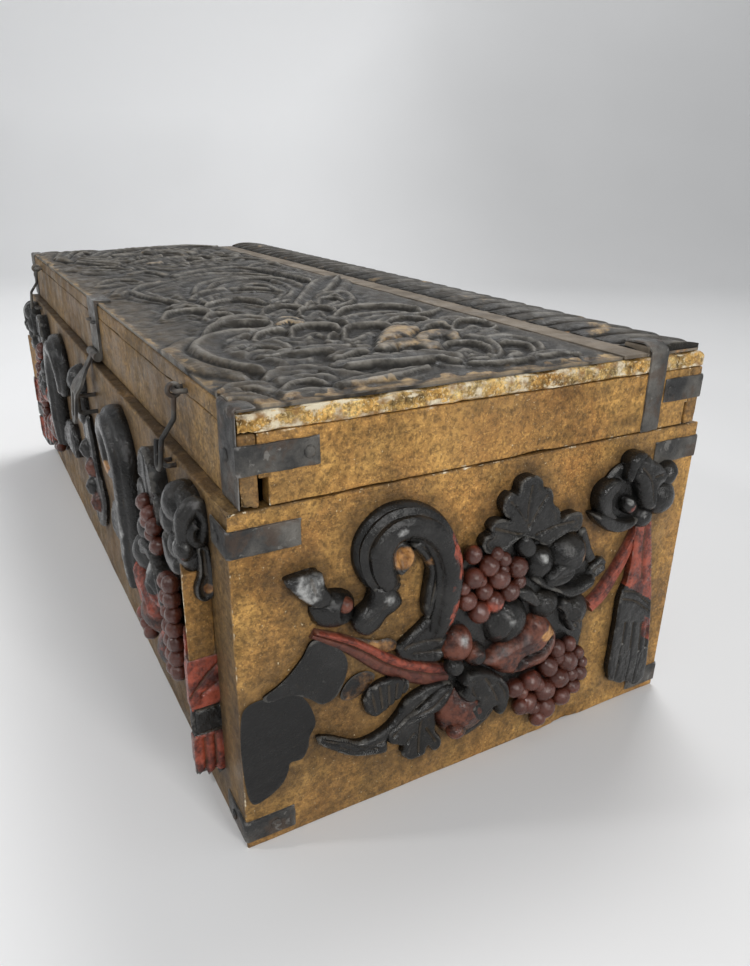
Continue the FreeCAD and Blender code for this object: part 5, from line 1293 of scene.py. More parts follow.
def end_fruit():
    """Fruit, vine leaf, cloth and leaf cap of an end, all on one core."""
    s = Shells()
    leaf(s, [(-18, 127), (2, 131), (20, 128), (37, 124), (56, 116), (63, 99), (58, 84), (64, 66), (62, 49),
        (56, 26), (44, 19), (30, 22), (14, 37), (2, 24), (-14, 19), (-25, 31), (-26, 48), (-27, 68),
        (-25, 88), (-19, 105)], 2.2, edge=0.6, rim=5, spacing=2.2, seed=31, maroon=0.2)
    leaf(s, VINE_LEAF, 6.6, edge=0.84, rim=1.5, scoop=0.9, veins=[[(15, 158), (14, 146), (15, 136)],
        [(3, 152), (9, 146), (13, 140)], [(-5, 140), (4, 136), (12, 133)], [(25, 151), (20, 144), (16, 137)],
        [(44, 133), (32, 133), (20, 131)]], groove=(1.1, 0.8), seed=32, grain=0.12)
    leaf(s, [(14, 133), (10.5, 130), (9, 126), (11.5, 121.5), (16, 119.5), (20, 120.5), (21, 125.5),
        (17.5, 130.5)], 7.6, edge=0.6, rim=3.5, seed=34)
    # The silver spots near the tops of these fruits and on the leaf cap are painted highlights.
    dome(s, 44.0, 114.5, 12.2, 11.3, stretch=(1.03, 0.96), seed=4, spokes=56,
        marks=[(-2, -3, 5.0, 0.8, "ring")], silver=near_spot(40, 118, 8, 0.32),
        bare=near_spot(52, 113, 9, 0.4))
    dome(s, 25.5, 114.0, 9.0, 9.8, stretch=(0.98, 1.08), seed=3, silver=near_spot(24, 119, 5, 0.7))
    leaf(s, [(27, 101.5), (28.5, 107), (32.5, 110), (35.5, 113), (40.5, 113.5), (46.5, 110.5), (46.5, 105.5),
        (43, 101), (37, 99)], 10.6, rim=3.6, tilt=(0.02, 0.03), seed=35,
        veins=[[(29, 103), (37, 106), (45, 108)]], groove=(0.7, 1.1))
    leaf(s, [(19.5, 107), (26, 100.5), (35.5, 95.5), (45.5, 89.5), (54, 89.5), (60.5, 92.5), (63, 98),
        (57.5, 97.5), (49.5, 95.5), (39, 98), (30.5, 103), (23.5, 109)], 8.4, edge=0.6, rim=2.2, seed=40,
        ridges=[([(22, 106), (34, 98), (47, 92), (60, 95)], 0.8, 1.3)])
    leaf(s, [(60, 96.5), (62, 101), (65.5, 104), (69.5, 106), (73, 103.5), (73, 98.5), (70, 96), (65, 94.5)],
        5.0, rim=2.4, scoop=0.9, veins=[[(61, 98), (67, 101), (72, 101)]], seed=36, edge=0.45)
    leaf(s, [(56, 126), (59, 121), (63, 112), (66, 106), (61, 104), (57, 110), (54, 118), (52, 124)], 3.6,
        rim=2.5, seed=44, spacing=1.0, edge=0.45)
    dome(s, 7.5, 85.0, 13.4, 11.3, stretch=(1.08, 1.04), marks=[(0.35, -2.0, 1.3, 2.6, "cleft")], seed=5,
        spokes=56, silver=near_spot(8, 88, 9, 0.35), red=near_spot(-1, 80, 5, 0.6))
    dome(s, 32, 88.5, 8.7, 9.6, seed=6, maroon=0.15, marks=[(-2, 2, 3.5, 0.5, "ring")], bumps=0.02)
    leaf(s, [(9.5, 103), (13.5, 104.5), (20, 102), (23.5, 97.5), (27.5, 91), (23, 90.5), (17.5, 94),
        (12.5, 98)], 9.4, rim=2.8, seed=37, veins=[[(11, 102), (18, 98), (25, 92)]], groove=(0.9, 1.2))
    leaf(s, [(40, 85), (44, 80), (47, 72), (51, 67), (57, 68), (56, 74), (52, 80), (48, 87), (43, 89)], 8.2,
        rim=2.6, seed=43, veins=[[(43, 85), (48, 78), (53, 70)]])
    dome(s, 53.5, 78.5, 9.4, 9.8, stretch=(0.98, 1.04), seed=7, marks=[(-4.5, 1, 3.6, 0.8, "ring")])
    # Painted shade along the cloth's fold.
    fold = round_line(CLOTH_FOLD, 1.0)
    leaf(s, CLOTH, 9.8, edge=0.30, rim=7.5, tilt=(0.02, -0.01), seed=38, grain=0.4, veins=[CLOTH_FOLD],
        groove=(4.2, 1.9), ridges=[([(-5, 66), (8, 68), (20, 71), (30, 78)], 0.7, 3.0)], ceiling=11.0,
        red=0.30, maroon=0.85, shade=lambda u, v, w: limited(1.5 - distance_to(columns(u, v), fold) / 2.4),
        bare=near_spot(33, 73, 9, 1.0, 0.7))
    dome(s, -22.5, 81, 9.4, 11.2, stretch=(0.94, 1.08), seed=8, marks=[(4.5, 3.0, 2.2, 0.7, "hollow")],
        maroon=0.7, silver=near_spot(-22, 86, 7, 0.5))
    dome(s, -11.5, 72, 6.0, 9.8, seed=9, marks=[(0, 0, 3.0, 0.7, "ring")], maroon=0.35)
    dome(s, -25.5, 71, 5.0, 11.4, seed=10, bumps=0.01, marks=[(0, 0, 3.2, 0.5, "ring")])
    dome(s, -14, 39.5, 18.6, 10.8, bumps=0.025, rings=28, spokes=60, seed=11, maroon=0.85,
        bare=near_spot(-24, 33, 9, 0.35))
    dome(s, -21.5, 30.5, 4.9, 11.3, stretch=(1.1, 0.95), seed=12, bumps=0.02, maroon=0.5,
        bare=near_spot(-20, 32, 4, 0.5))
    leaf(s, LEAF_CAP, 11.4, edge=0.66, rim=2.8, seed=41, scoop=0.8, veins=[[(-8, 60), (-2, 50), (3, 38)],
        [(-16, 57), (-13, 50), (-10, 40)], [(0, 55), (5, 48), (7, 40)]], groove=(1.0, 1.0), ceiling=11.4,
        silver=near_spot(-4, 52, 9, 0.3))
    return s


def make_end(side, place):
    """Everything carved on one end; the left one is the same pattern in mirror."""
    shift = 0.0 if side == "right" else 50.0

    def fix(shells, name, node, material=BLACK, slot="black_carving"):
        set_in(shells, f"{side}_end_{name}", place, material, "case", [f"{side}_end_{node}"])

    fix(end_fruit(), "fruit", "festoon")
    upper = [(u, v, min(5.2 + 0.4 * (number % 3), 11.2 - r), (r, r, r * 1.03),
        (0.3 * number, 0.2, 0.1)) for number, (u, v, r) in enumerate(UPPER_GRAPES)]
    beads(f"{side}_end_upper_grapes", upper, place, MAROON, "case", "black_carving", [f"{side}_end_festoon"],
        seed=3)
    lower = [(u, v, min(4.4 + 0.7 * ((number * 7) % 3), 11.2 - r), (r * 0.96, r * 0.94, r * 1.03),
        (0.2 * number, 0, 0)) for number, (u, v, r) in enumerate(LOWER_GRAPES)]
    beads(f"{side}_end_lower_grapes", lower, place, MAROON, "case", "black_carving", [f"{side}_end_festoon"],
        seed=5)

    s = Shells(shift)
    line = [(-33.5, 92, 5.4, 2.6), (-32, 100.5, 7.0, 3.2), (-30.5, 112, 7.6, 3.4), (-30.5, 125.5, 7.6, 3.6),
        (-34.5, 138, 7.7, 3.5), (-41.5, 148, 8.5, 2.8), (-51.5, 153, 9.4, 1.9), (-62, 152, 10.2, 1.1),
        (-68, 145, 10.6, 0.7), (-67.5, 135, 9.6, 1.4), (-62.5, 126, 7.4, 1.4), (-58, 122, 5.0, 1.0)]
    # The silver spot on the horn's top is a painted highlight.
    horn(s, line, grooves=[(-0.75, 0.15, 0.20), (-1.25, 0.13, 0.16), (0.9, 0.20, 0.14)], seed=1, ceiling=11.4,
        silver=near_spot(-58, 153, 13, 0.45, 0.45),
        red=lambda u, v, w: 0.55 * (u > -32) * limited(0.7 + lumps(columns(u, v), 6.0, 4)))
    leaf(s, [(-51, 142), (-46, 144), (-39.5, 141), (-34, 133), (-30, 125.5), (-32.5, 120), (-36, 112),
        (-38.5, 104), (-41, 101), (-43, 108), (-42, 119), (-41.5, 127), (-45, 134.5)], 6.6, edge=0.6, rim=2.6,
        scoop=1.6, seed=8, bare=near_spot(-42, 133, 8, 0.5))
    leaf(s, [(-61.5, 143.5), (-56.5, 146), (-51.5, 142.5), (-48.5, 136.5), (-51.5, 131), (-56, 128),
        (-60, 132), (-62, 138.5)], 6.6, rim=3.0, scoop=3.2, seed=2, bare=near_spot(-56, 137, 9, 1.1))
    leaf(s, [(-71, 126.5), (-65.5, 127.5), (-60, 124), (-56, 119), (-55, 114.5), (-58.5, 111), (-63.5, 108.5),
        (-66, 105), (-72.5, 102), (-77.5, 104.5), (-80.5, 110.5), (-78, 115), (-73, 118.5), (-71.5, 122)],
        8.6, edge=0.45, rim=7.0, seed=3, spacing=1.0, veins=[[(-62, 121), (-67, 115), (-76, 110)]],
        groove=(0.8, 1.1), silver=near_spot(-64, 120, 8, 0.35))
    leaf(s, [(-79, 101), (-74, 98.5), (-65.5, 95), (-58, 93.5), (-53.5, 87.5), (-60, 86.5), (-68.5, 90),
        (-75, 94.5)], 1.8, rim=2, seed=4, bare=0.5, edge=0.45, spacing=1.3)
    leaf(s, [(-56, 88.5), (-51.5, 93), (-45.5, 97), (-39, 101), (-31, 97), (-28, 90), (-27, 80), (-31.5, 74),
        (-43.5, 77), (-55, 83.5)], 4.8, rim=3, scoop=0.9, seed=5, spacing=1.0,
        veins=[[(-52, 88), (-42, 88), (-31, 86)], [(-47, 83), (-38, 81), (-30, 80)]], silver=0.18, edge=0.45)
    fix(s, "scroll", "horn")

    s = Shells(shift)
    # The stub's silver spot is partly grey silvering and partly painted highlight.
    leaf(s, [(-111, 139), (-104, 140.5), (-95, 140), (-93, 133), (-90, 127), (-92, 123), (-99, 124),
        (-103, 128), (-107, 132)], 6.6, edge=0.7, rim=2.5, tilt=(0.06, -0.03),
        veins=[[(-100, 139), (-97, 126)]], groove=(0.8, 1.1), grain=0.6, seed=6, spacing=1.0,
        silver=near_spot(-101, 134, 11, 1.1), bare=0.1)
    dome(s, -88, 118.5, 10.6, 8.2, stretch=(1.12, 0.92), turn=-0.35, seed=7,
        marks=[(5.0, 2.0, 5.0, 3.4, "hollow"), (5.0, 2.0, 6.2, 1.2, "ring")])
    dome(s, -84, 121, 3.9, 8.4, seed=8, bumps=0.02, maroon=0.9, red=0.4)
    fix(s, "broken_boss", "front_boss")

    s = Shells(shift)
    ribbon(s, [(-98, 108.5, 4.5), (-89, 103, 6.5), (-80, 97, 8), (-71, 89.5, 9.5), (-62, 81.5, 10.5),
        (-53, 75, 11.5), (-43, 69.5, 12.5), (-33, 65, 12.5), (-25, 62, 12)], [(-1, 0.8), (-0.8, 1.9),
        (-0.35, 2.7), (-0.05, 2.6), (0.08, 1.4), (0.3, 3.6), (0.7, 4.8), (0.92, 4.4), (1, 3.4)], seed=9,
        red=lambda u, v, w: 0.55 + 0.5 * (w > 3.2), maroon=lambda u, v, w: 0.5 * (w < 2.9))
    fix(s, "ribbon_by_the_horn", "front_ribbon", RED, "red_carving")
    s = Shells(shift)
    ribbon(s, [(66.5, 76, 10), (72.5, 79.5, 10.5), (80, 88.5, 9.5), (86.5, 99, 8), (91.5, 110, 6),
        (94.5, 120, 3.5)], [(-1, 1.2), (-0.75, 3.2), (-0.3, 3.8), (-0.02, 2.6), (0.1, 2.4), (0.45, 4.6),
        (0.8, 4.2), (1, 2.4)], seed=10, red=0.98)
    fix(s, "ribbon_by_the_tail", "rear_ribbon", RED, "red_carving")

    s = Shells(shift)
    leaf(s, [(-97.5, 53), (-91.5, 51.5), (-84, 47), (-76, 42.5), (-68.5, 42.5), (-60.5, 45.5), (-55, 50.5),
        (-50, 57), (-41, 60.5), (-31.5, 61), (-24, 58.5), (-27, 53), (-33, 48), (-42.5, 44.5), (-51.5, 40),
        (-59.5, 37.5), (-60.5, 30.5), (-70.5, 32), (-81.5, 36.5), (-90.5, 43.5), (-96.5, 49)], 4.9, rim=2.6,
        seed=12, veins=[[(-95, 51), (-84, 44.5), (-72, 37.5), (-61, 38), (-50, 47), (-38, 54), (-27, 57)],
        [(-86, 43), (-76, 36.5), (-66, 34.5)]], groove=(1.8, 1.1), silver=lambda u, v, w: 0.22 * (w > 4.2))
    leaf(s, [(-60.5, 42.5), (-55, 46), (-46, 49.5), (-37, 54.5), (-29, 59.5), (-23.5, 57.5), (-26, 50),
        (-31.5, 45), (-38.5, 44.5), (-46, 44.5), (-53.5, 40), (-55.5, 34), (-60, 36)], 6.4, rim=2.4, seed=13,
        veins=[[(-58, 40), (-48, 46.5), (-36, 49), (-27, 55)]], groove=(1.3, 1.0))
    leaf(s, [(-59, 40.5), (-54.5, 43.5), (-48.5, 44.5), (-40.5, 45), (-34.5, 46), (-32.5, 38.5), (-32.5, 33),
        (-28.5, 25.5), (-29, 21), (-33, 19.5), (-37, 24.5), (-38, 20.5), (-43, 19.5), (-47.5, 20), (-52, 25),
        (-51, 29.5), (-55, 32.5)], 5.2, edge=0.66, rim=2.4, scoop=0.7, seed=14,
        veins=[[(-41, 42), (-42, 32), (-42, 22)], [(-38, 36), (-32, 26)], [(-45, 35), (-52, 29)]],
        groove=(1.2, 0.9))
    fix(s, "stem_leaf", "long_leaf")
    s = Shells(shift)
    flute_lines = [[(-70 + 4.8 * k, 71 - 0.6 * k), (-67 + 3.6 * k, 57 + 0.6 * k)] for k in range(5)]
    leaf(s, [(-73.5, 65.5), (-70.5, 70), (-64, 73), (-56, 72.5), (-48.5, 67), (-49.5, 62.5), (-55, 59),
        (-61, 56), (-67.5, 54), (-72.5, 59)], 4.7, edge=0.6, rim=2.6, veins=flute_lines, groove=(1.1, 1.0),
        seed=15, silver=0.20)
    fix(s, "fluted_leaf", "short_leaf")
    s = Shells(shift)
    leaf(s, [(-84.5, 69.5), (-82, 76), (-77, 79.5), (-70.5, 79.5), (-66.5, 76), (-69.5, 70), (-75.5, 67),
        (-80, 66.5)], 1.2, edge=0.8, rim=2, seed=16, bare=0.45, maroon=0.3, spacing=1.3)
    if side == "right":
        leaf(s, [(-98, 105), (-90, 101), (-83, 94), (-81, 86), (-83.5, 77), (-88, 71), (-94, 70), (-100, 75),
            (-108, 80), (-120, 80.5), (-122, 83), (-115, 87), (-109.5, 91), (-103, 98)], 2.2, edge=0.75,
            rim=5, veins=[[(-109, 89), (-104, 82), (-97, 78)]], groove=(0.5, 1.1), seed=17, ceiling=2.5,
            silver=lambda u, v, w: 0.08 + 0.12 * lumps(columns(u, v), 9.0, 3), shade=0.25, spacing=1.3)
        leaf(s, [(-130.5, 79), (-124, 82), (-116, 80.5), (-108, 81), (-102, 75), (-98, 66), (-97, 59),
            (-100, 53), (-101, 47), (-104, 42), (-110, 42), (-111, 38), (-114, 32), (-121, 27), (-128, 25.5),
            (-130.5, 30)], 0.5, edge=0.8, rim=3, seed=18, ceiling=0.7, grain=0.08, shade=0.35, spacing=1.3)
        set_in(s, "right_end_flat_leaves", place, BLACK, "case", ["right_end_front_leaf"])
    else:
        set_in(s, "left_end_flat_leaf", place, BLACK, "case")

    s = Shells(shift)
    leaf(s, [(72.5, 151), (66, 151.5), (60, 147.5), (58.5, 140.5), (61, 133.5), (66.5, 129.5), (73, 129.5),
        (68.5, 136), (68, 142), (72, 146.5)], 8.4, edge=0.6, rim=2.2, seed=20)
    leaf(s, [(56.5, 134.5), (60.5, 128), (68.5, 122.5), (78, 120.5), (84, 122), (89, 126), (80, 127),
        (71.5, 130), (64.5, 134)], 9.2, edge=0.55, rim=2.6, seed=28)
    # Painted shade in the hollow of the flower on this low leaf; the silver spots on the leaves and balls of
    # the flower are painted highlights.
    leaf(s, [(66, 150), (64, 136), (72, 127), (84, 122), (97, 122), (108, 127), (112, 140), (104, 152),
        (88, 158), (74, 157)], 3.4, rim=4, seed=21, shade=near_spot(77, 134, 13, 1.4), edge=0.45, spacing=1.3)
    leaf(s, [(80.5, 156.5), (83, 161.5), (88.5, 162.5), (93, 158.5), (99.5, 155), (104.5, 149.5),
        (103, 144.5), (99.5, 142), (100, 136), (98, 130), (92, 130.5), (86.5, 137.5), (83, 146), (79.5, 152)],
        11.2, edge=0.45, rim=6.0, seed=23, veins=[[(84, 156), (91, 148), (95, 136)], [(99, 150), (93, 150)]],
        groove=(1.4, 1.1), silver=near_spot(90, 154, 8, 0.3))
    leaf(s, [(76.5, 156), (77, 161), (81, 164), (88, 163), (86, 159), (82, 154), (79, 148), (76, 150)], 9.4,
        rim=3.0, seed=22)
    dome(s, 106, 134.5, 10.4, 11.2, stretch=(0.96, 1.06), seed=24, silver=near_spot(107, 139, 6, 0.35))
    dome(s, 108.5, 147, 6.2, 9.6, stretch=(0.9, 1.2), turn=-0.4, seed=29)
    dome(s, 95, 124.5, 6.4, 8.6, seed=25)
    dome(s, 81, 135, 4.6, 9.6, stretch=(0.95, 1.1), bumps=0.02, seed=26, red=near_spot(82, 133, 5, 0.9),
        silver=near_spot(79.5, 137.5, 3.5, 0.9))
    fix(s, "flower_boss", "rear_boss")

    s = Shells(shift)
    band = lambda u, v: v - 83.5 + 0.66 * (u - 90.5)
    leaf(s, [(92, 121), (96.5, 124), (101.5, 123), (105.5, 108.5), (110.5, 85.5), (114, 68), (117, 48),
        (118.8, 30), (118, 12), (111.5, 9.5), (104.5, 14.5), (99, 15), (88.5, 23.5), (87.5, 42.5), (88, 61),
        (88, 75.5), (91.5, 86), (92.5, 98), (92, 108.5)], 4.9, edge=0.8, rim=1.8, seed=27, grain=0.25,
        ceiling=5.0, veins=[[(99, 120), (100, 104), (103, 84)], [(90, 80), (100, 76.5), (112, 66)],
        [(90, 75), (100, 71), (113, 61)], [(95, 58), (95, 40), (93, 21)],
        [(102, 56), (102.5, 36), (101.5, 16)], [(109, 54), (110.5, 34), (110, 12)], [(114.5, 50), (116, 30)]],
        groove=(1.3, 0.9), red=lambda u, v, w: 0.97 * (band(u, v) > 0) + 0.8 * (band(u, v) > -26)
        * (band(u, v) < -12) * (u > 110))
    for number in range(6):
        u, v = 91.5 + 4.9 * number, 21.5 - 2.2 * number + 3 * (number % 2)
        leaf(s, [(u - 2.3, v + 22), (u + 2.1, v + 22), (u + 2.7, v + 4), (u + 1.4, v - 2.5), (u - 1.6, v - 2),
            (u - 2.4, v + 6)], 4.9, rim=2.0, seed=30 + number, spacing=1.0, ceiling=5.0)
    fix(s, "tassel", "rear_tail")


# ---------------------------------------------------------------- carving of the front

def make_front(side, place):
    """Boss with its tassel, fruit and horn on one half of the front."""
    shift = 100.0 if side == "right" else 150.0
    way = 1.0 if side == "right" else -1.0

    def fix(shells, name, node, where=place, material=BLACK, slot="black_carving", sharp=48):
        set_in(shells, f"front_{side}_{name}", where, material, "case", [f"front_{side}_{node}"], sharp)

    s = Shells(shift)
    leaf(s, [(246, 152), (248, 138), (258, 130), (272, 128), (281, 133), (283, 148), (283, 160), (276, 168),
        (262, 169), (250, 163)], 9.6, edge=0.7, rim=5.0, seed=5, spacing=1.4)
    # The silver spots on the boss's upper lobe and its small ball are painted highlights.
    dome(s, 266, 160.5, 9.6, 13.8, stretch=(1.15, 1.0), turn=-0.5, seed=1, silver=near_spot(266, 163, 7, 0.6))
    dome(s, 256, 150, 8.4, 13.0, stretch=(1.0, 1.25), seed=2)
    dome(s, 277, 144.5, 6.6, 13.4, bumps=0.02, seed=7, silver=near_spot(276, 147, 4, 0.7),
        red=near_spot(272, 141, 4, 0.5))
    dome(s, 264, 140, 8.6, 12.4, seed=3)
    leaf(s, [(248, 142), (246, 133), (252, 126), (262, 124), (270, 128), (268, 134), (258, 134), (253, 140)],
        11.6, rim=3.6, seed=6, spacing=1.2)
    fix(s, "flower_boss", "boss")
    s = Shells(shift)
    # The silver on the volute's top and on its ball is painted highlight.
    horn(s, [(-142.4, 146, 2.6, 2.2), (-142.0, 153, 3.4, 2.6), (-140.8, 161, 4.2, 2.6),
        (-136.6, 165, 4.4, 2.8), (-133.4, 160.5, 3.8, 3.2), (-133.2, 153.5, 3.4, 3.6),
        (-135.6, 149, 3.0, 4.2), (-138.8, 150.6, 2.6, 4.8), (-139.4, 155.4, 2.3, 5.4),
        (-137.2, 157.4, 2.2, 5.6)], spokes=28, step=1.1, seed=31, ceiling=8.2, grooves=[(0.5, 0.22, 0.14)],
        silver=lambda u, v, w: 0.25 * limited((w - 6.6) / 1.2) * (v > 150))
    dome(s, -142.2, 146.5, 4.3, 7.8, seed=32, bumps=0.02, stretch=(0.95, 1.15),
        silver=near_spot(-142.4, 149, 2.6, 0.5), red=near_spot(-144, 144, 3, 0.5))
    leaf(s, [(-133, 147), (-131.4, 140), (-130.8, 130), (-131.8, 122.5), (-135.5, 120.5), (-139.2, 122.5),
        (-140.2, 128), (-138.4, 134), (-137.6, 141), (-138, 147)], 7.4, edge=0.62, rim=1.8, scoop=1.3,
        seed=33, spacing=0.7, bare=near_spot(-134.4, 127, 3.6, 1.2), veins=[[(-135.5, 146), (-135, 134)]],
        groove=(0.9, 0.8))
    fix(s, "volute", "boss", beside(way * 279.0))

    s = Shells(shift)
    low_x, high_x = sorted((way * 254.0, way * 283.0))
    # The bar is darkened all over, more towards its top under the boss: painted shade, with dirt.
    worn_block(s, (low_x, -145.2, 90.5), (high_x, -132.3, 135.0), rounding=0.9, nicks=0.7, step=3.0, seed=8,
        gilt=0.9, shade=lambda x, y, z: 0.35 + limited((z - 124) / 10) * 0.5)
    points = s.points[0]
    points[:, 1] += (-132.3 - points[:, 1]) / 12.9 * (283 - np.abs(points[:, 0])) * 0.25
    fix(s, "gilded_bar", "tail", as_is, OCHRE, "gilded_boards", 60)
    s = Shells(shift)
    zones = lambda u, v, w: 0.96 * ((v > 65.5) | (v < 49) * (v > 27 + 2.5 * lumps(columns(u, u), 5.0, 3)))
    leaf(s, [(253, 91), (281.5, 91), (282, 62), (282, 27), (276, 23), (266, 20), (256, 23), (250, 27),
        (251, 62)], 10.2, tilt=(0.23, 0.0), edge=0.94, rim=1.2, seed=9, spacing=1.3, grain=0.4, ceiling=13.9,
        undercut=0.2, straight=True, veins=[[(251, 74), (266, 82), (284, 88)], [(249, 64), (285, 64)],
        [(249, 50), (285, 50)], [(257, 48), (256, 24)], [(265, 48), (266, 22)], [(274, 48), (275, 24)]],
        groove=(1.5, 1.1), red=zones)
    fix(s, "tassel", "tail")
    s = Shells(shift)
    leaf(s, [(-131, 91.5), (-145.4, 91.5), (-146.2, 88), (-146.3, 66.5), (-144.4, 64.5), (-144.2, 51),
        (-146.2, 48.5), (-146.3, 34), (-145, 27), (-141.6, 29.5), (-140.6, 25), (-136.4, 28), (-135.4, 24),
        (-131, 26)], 5.0, edge=0.9, rim=0.9, seed=10, spacing=0.8, grain=0.15, ceiling=5.0, undercut=0.1,
        straight=True, veins=[[(-131, 87), (-137, 82), (-146, 71)], [(-130, 63.5), (-147, 63.5)],
        [(-130, 50), (-147, 50)], [(-141, 47), (-141, 28)], [(-136, 47), (-136, 26)],
        [(-133, 76), (-140, 72)]], groove=(1.3, 0.8), red=zones)
    fix(s, "tassel_side", "tail", beside(way * 278.4))

    s = Shells(shift)
    leaf(s, [(160, 94), (166, 116), (186, 126), (196, 144), (218, 142), (232, 126), (246, 112), (247, 84),
        (244, 58), (228, 46), (206, 38), (182, 40), (164, 54), (157, 76)], 4.0, edge=0.6, rim=6, spacing=2.4,
        seed=16)
    leaf(s, [(190, 128), (186, 139), (192, 148), (195, 160), (204, 167), (213, 165), (220, 158), (223, 147),
        (228, 138), (220, 128), (206, 122)], 8.6, edge=0.8, rim=2.0, scoop=1.2, seed=17, spacing=1.3,
        veins=[[(192, 148), (198, 142), (204, 132)], [(204, 164), (206, 148), (206, 134)],
        [(222, 147), (216, 142), (209, 132)]], groove=(1.8, 1.2))
    # The silver spot on the big fruit is a painted highlight.
    dome(s, 213, 95, 19.5, 13.7, stretch=(1.0, 1.02), bumps=0.025, rings=28, spokes=60, seed=18,
        marks=[(3, -4, 4.2, 4.5, "hollow"), (3, -4, 6.6, 1.0, "ring")],
        red=lambda u, v, w: 0.95 * (np.abs(np.hypot(u - 213, v - 100) - 15) < 3.6) * (v < 104),
        silver=near_spot(210, 106, 10, 0.55))
    dome(s, 184, 62, 15.0, 13.2, seed=19, maroon=0.7)
    dome(s, 176, 96, 13.0, 12.6, seed=20)
    dome(s, 218, 58, 13.0, 12.8, seed=21, red=0.5)
    dome(s, 197, 120, 9.5, 12.4, seed=22)
    leaf(s, [(160, 84), (172, 82), (188, 78), (200, 70), (196, 62), (184, 60), (170, 66), (160, 74)], 11.8,
        edge=0.4, rim=5, seed=23, flutes=(5.0, 0.8), red=0.7, spacing=1.3)
    leaf(s, [(190, 112), (204, 116), (222, 112), (234, 104), (238, 92), (230, 92), (224, 104), (208, 108),
        (196, 104)], 12.8, edge=0.4, rim=4, seed=24, veins=[[(196, 109), (212, 112), (230, 100)]],
        spacing=1.3)
    fix(s, "fruit", "festoon")
    grapes = [(203 + 8.5 * k, 137 - 3.5 * k, 8.4, (4.8, 4.8, 4.8), (0, 0, 0)) for k in range(3)]
    grapes += [(209 + 8.5 * k, 129 - 3.5 * k, 8.6, (4.6, 4.6, 4.6), (0, 0, 0)) for k in range(3)]
    grapes += [(236 + 8 * column, 108 - 8.4 * line + 2 * column, 8.6, (4.7, 4.7, 4.9),
        (0, 0, 0)) for line in range(7) for column in range(2)]
    grapes += [(164 + 8 * column, 50 - 2 * column, 8.2, (4.6, 4.6, 4.6), (0, 0, 0)) for column in range(3)]
    beads(f"front_{side}_grapes", grapes, place, MAROON, "case", "black_carving", [f"front_{side}_festoon"],
        seed=9)

    s = Shells(shift)
    # The silver on the horn's highest parts is painted highlight.
    horn(s, [(146, 60, 9.0, 3.0), (146, 78, 10.5, 3.4), (147.5, 98, 10.8, 3.4), (146, 118, 10.6, 3.4),
        (142, 136, 10.4, 3.4), (132, 149, 10.6, 3.3), (117, 154, 10.6, 3.2), (103, 149, 10.0, 3.2),
        (96, 137, 9.0, 3.2), (99, 124, 7.6, 3.4), (108, 119, 6.0, 4.0), (115, 124, 4.8, 4.6),
        (113, 131, 4.0, 5.0)], grooves=[(-0.75, 0.16, 0.14), (0.75, 0.16, 0.12)], seed=30, ceiling=13.9,
        silver=lambda u, v, w: 0.35 * limited((w - 11.5) / 2), bare=near_spot(105, 122, 9, 0.8))
    leaf(s, [(75, 76), (82, 90), (98, 94), (116, 90), (130, 80), (138, 66), (128, 62), (112, 66), (94, 64),
        (80, 66)], 7.6, edge=0.45, rim=5, seed=31, flutes=(6.0, 0.9), silver=0.25, spacing=1.3)
    fix(s, "scroll", "horn")


def make_centre_spray():
    """A hanging leaf with four fruits under a dark ball, in the middle of the front."""
    s = Shells()
    leaf(s, [(-30, 60.5), (-34, 84.5), (-23, 100), (-27, 127), (-14, 122.5), (0, 125), (8, 104.5), (16, 84.5),
        (30, 70.5), (18, 46.5), (0, 36.5), (-20, 44.5)], 4.6, rim=4.5, seed=201, spacing=1.4,
        veins=[[(-20, 122), (-10, 90), (-2, 42)], [(-12, 92), (-28, 80)], [(-6, 84), (12, 80)],
        [(-6, 66), (-24, 58)], [(-2, 62), (20, 62)]], groove=(1.5, 1.1), ceiling=5.0)
    leaf(s, [(-25, 117), (-25, 140), (-14, 145), (-7, 136), (-9, 117)], 7.0, rim=4, seed=202, spacing=1.3)
    dome(s, -18, 148.5, 12, 11.9, seed=203, marks=[(0.3, -1.0, 1.2, 1.4, "cleft")])
    for number, (u, v) in enumerate([(-14, 96), (2, 86), (-6, 68), (8, 60)]):
        dome(s, u, v, 9, 9.8, seed=204.0 + number, maroon=0.8 * (number % 2), marks=[(1, -2, 3, 0.6, "ring")])
    return s


# ---------------------------------------------------------------- ironwork

def nail_heads():
    """Hammered round heads on every nail of the frame."""
    for node, body in (("case_nails", "case"), ("lid_nails", "lid")):
        points = read(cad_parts[node].data)
        cells = np.round(points / 0.0045).astype(int)
        groups, left = [], set(range(len(points)))
        order = {}
        for number, cell in enumerate(map(tuple, cells)):
            order.setdefault(cell, []).append(number)
        while left:
            start = left.pop()
            members, waiting = [start], [start]
            while waiting:
                x, y, z = cells[waiting.pop()]
                for key in ((x + a, y + b, z + c) for a in (-1, 0, 1) for b in (-1, 0, 1) for c
                        in (-1, 0, 1)):
                    near = [other for other in order.get(key, ()) if other in left]
                    left.difference_update(near)
                    members += near
                    waiting += near
            groups.append(points[members])
        heads = []
        for group in groups:
            low, high = group.min(axis=0), group.max(axis=0)
            spans, centre = high - low, (low + high) / 2
            axis = int(np.argmax(spans)) if spans.max() > 1.15 * np.median(spans) else int(np.argmin(spans))
            outer = max((low[axis], high[axis]), key=lambda value: abs(value - (0.1 if axis == 2 else 0.0)))
            centre[axis] = outer - math.copysign(0.0011, outer if axis != 2 else 1.0)
            radii = [2.7, 2.7, 2.7]
            radii[axis] = 1.15
            heads.append((*(centre / MM), radii, (0, 0, 0)))
        beads(f"{node}_heads", heads, as_is, IRON, body, "wrought_iron", [node], seed=12)


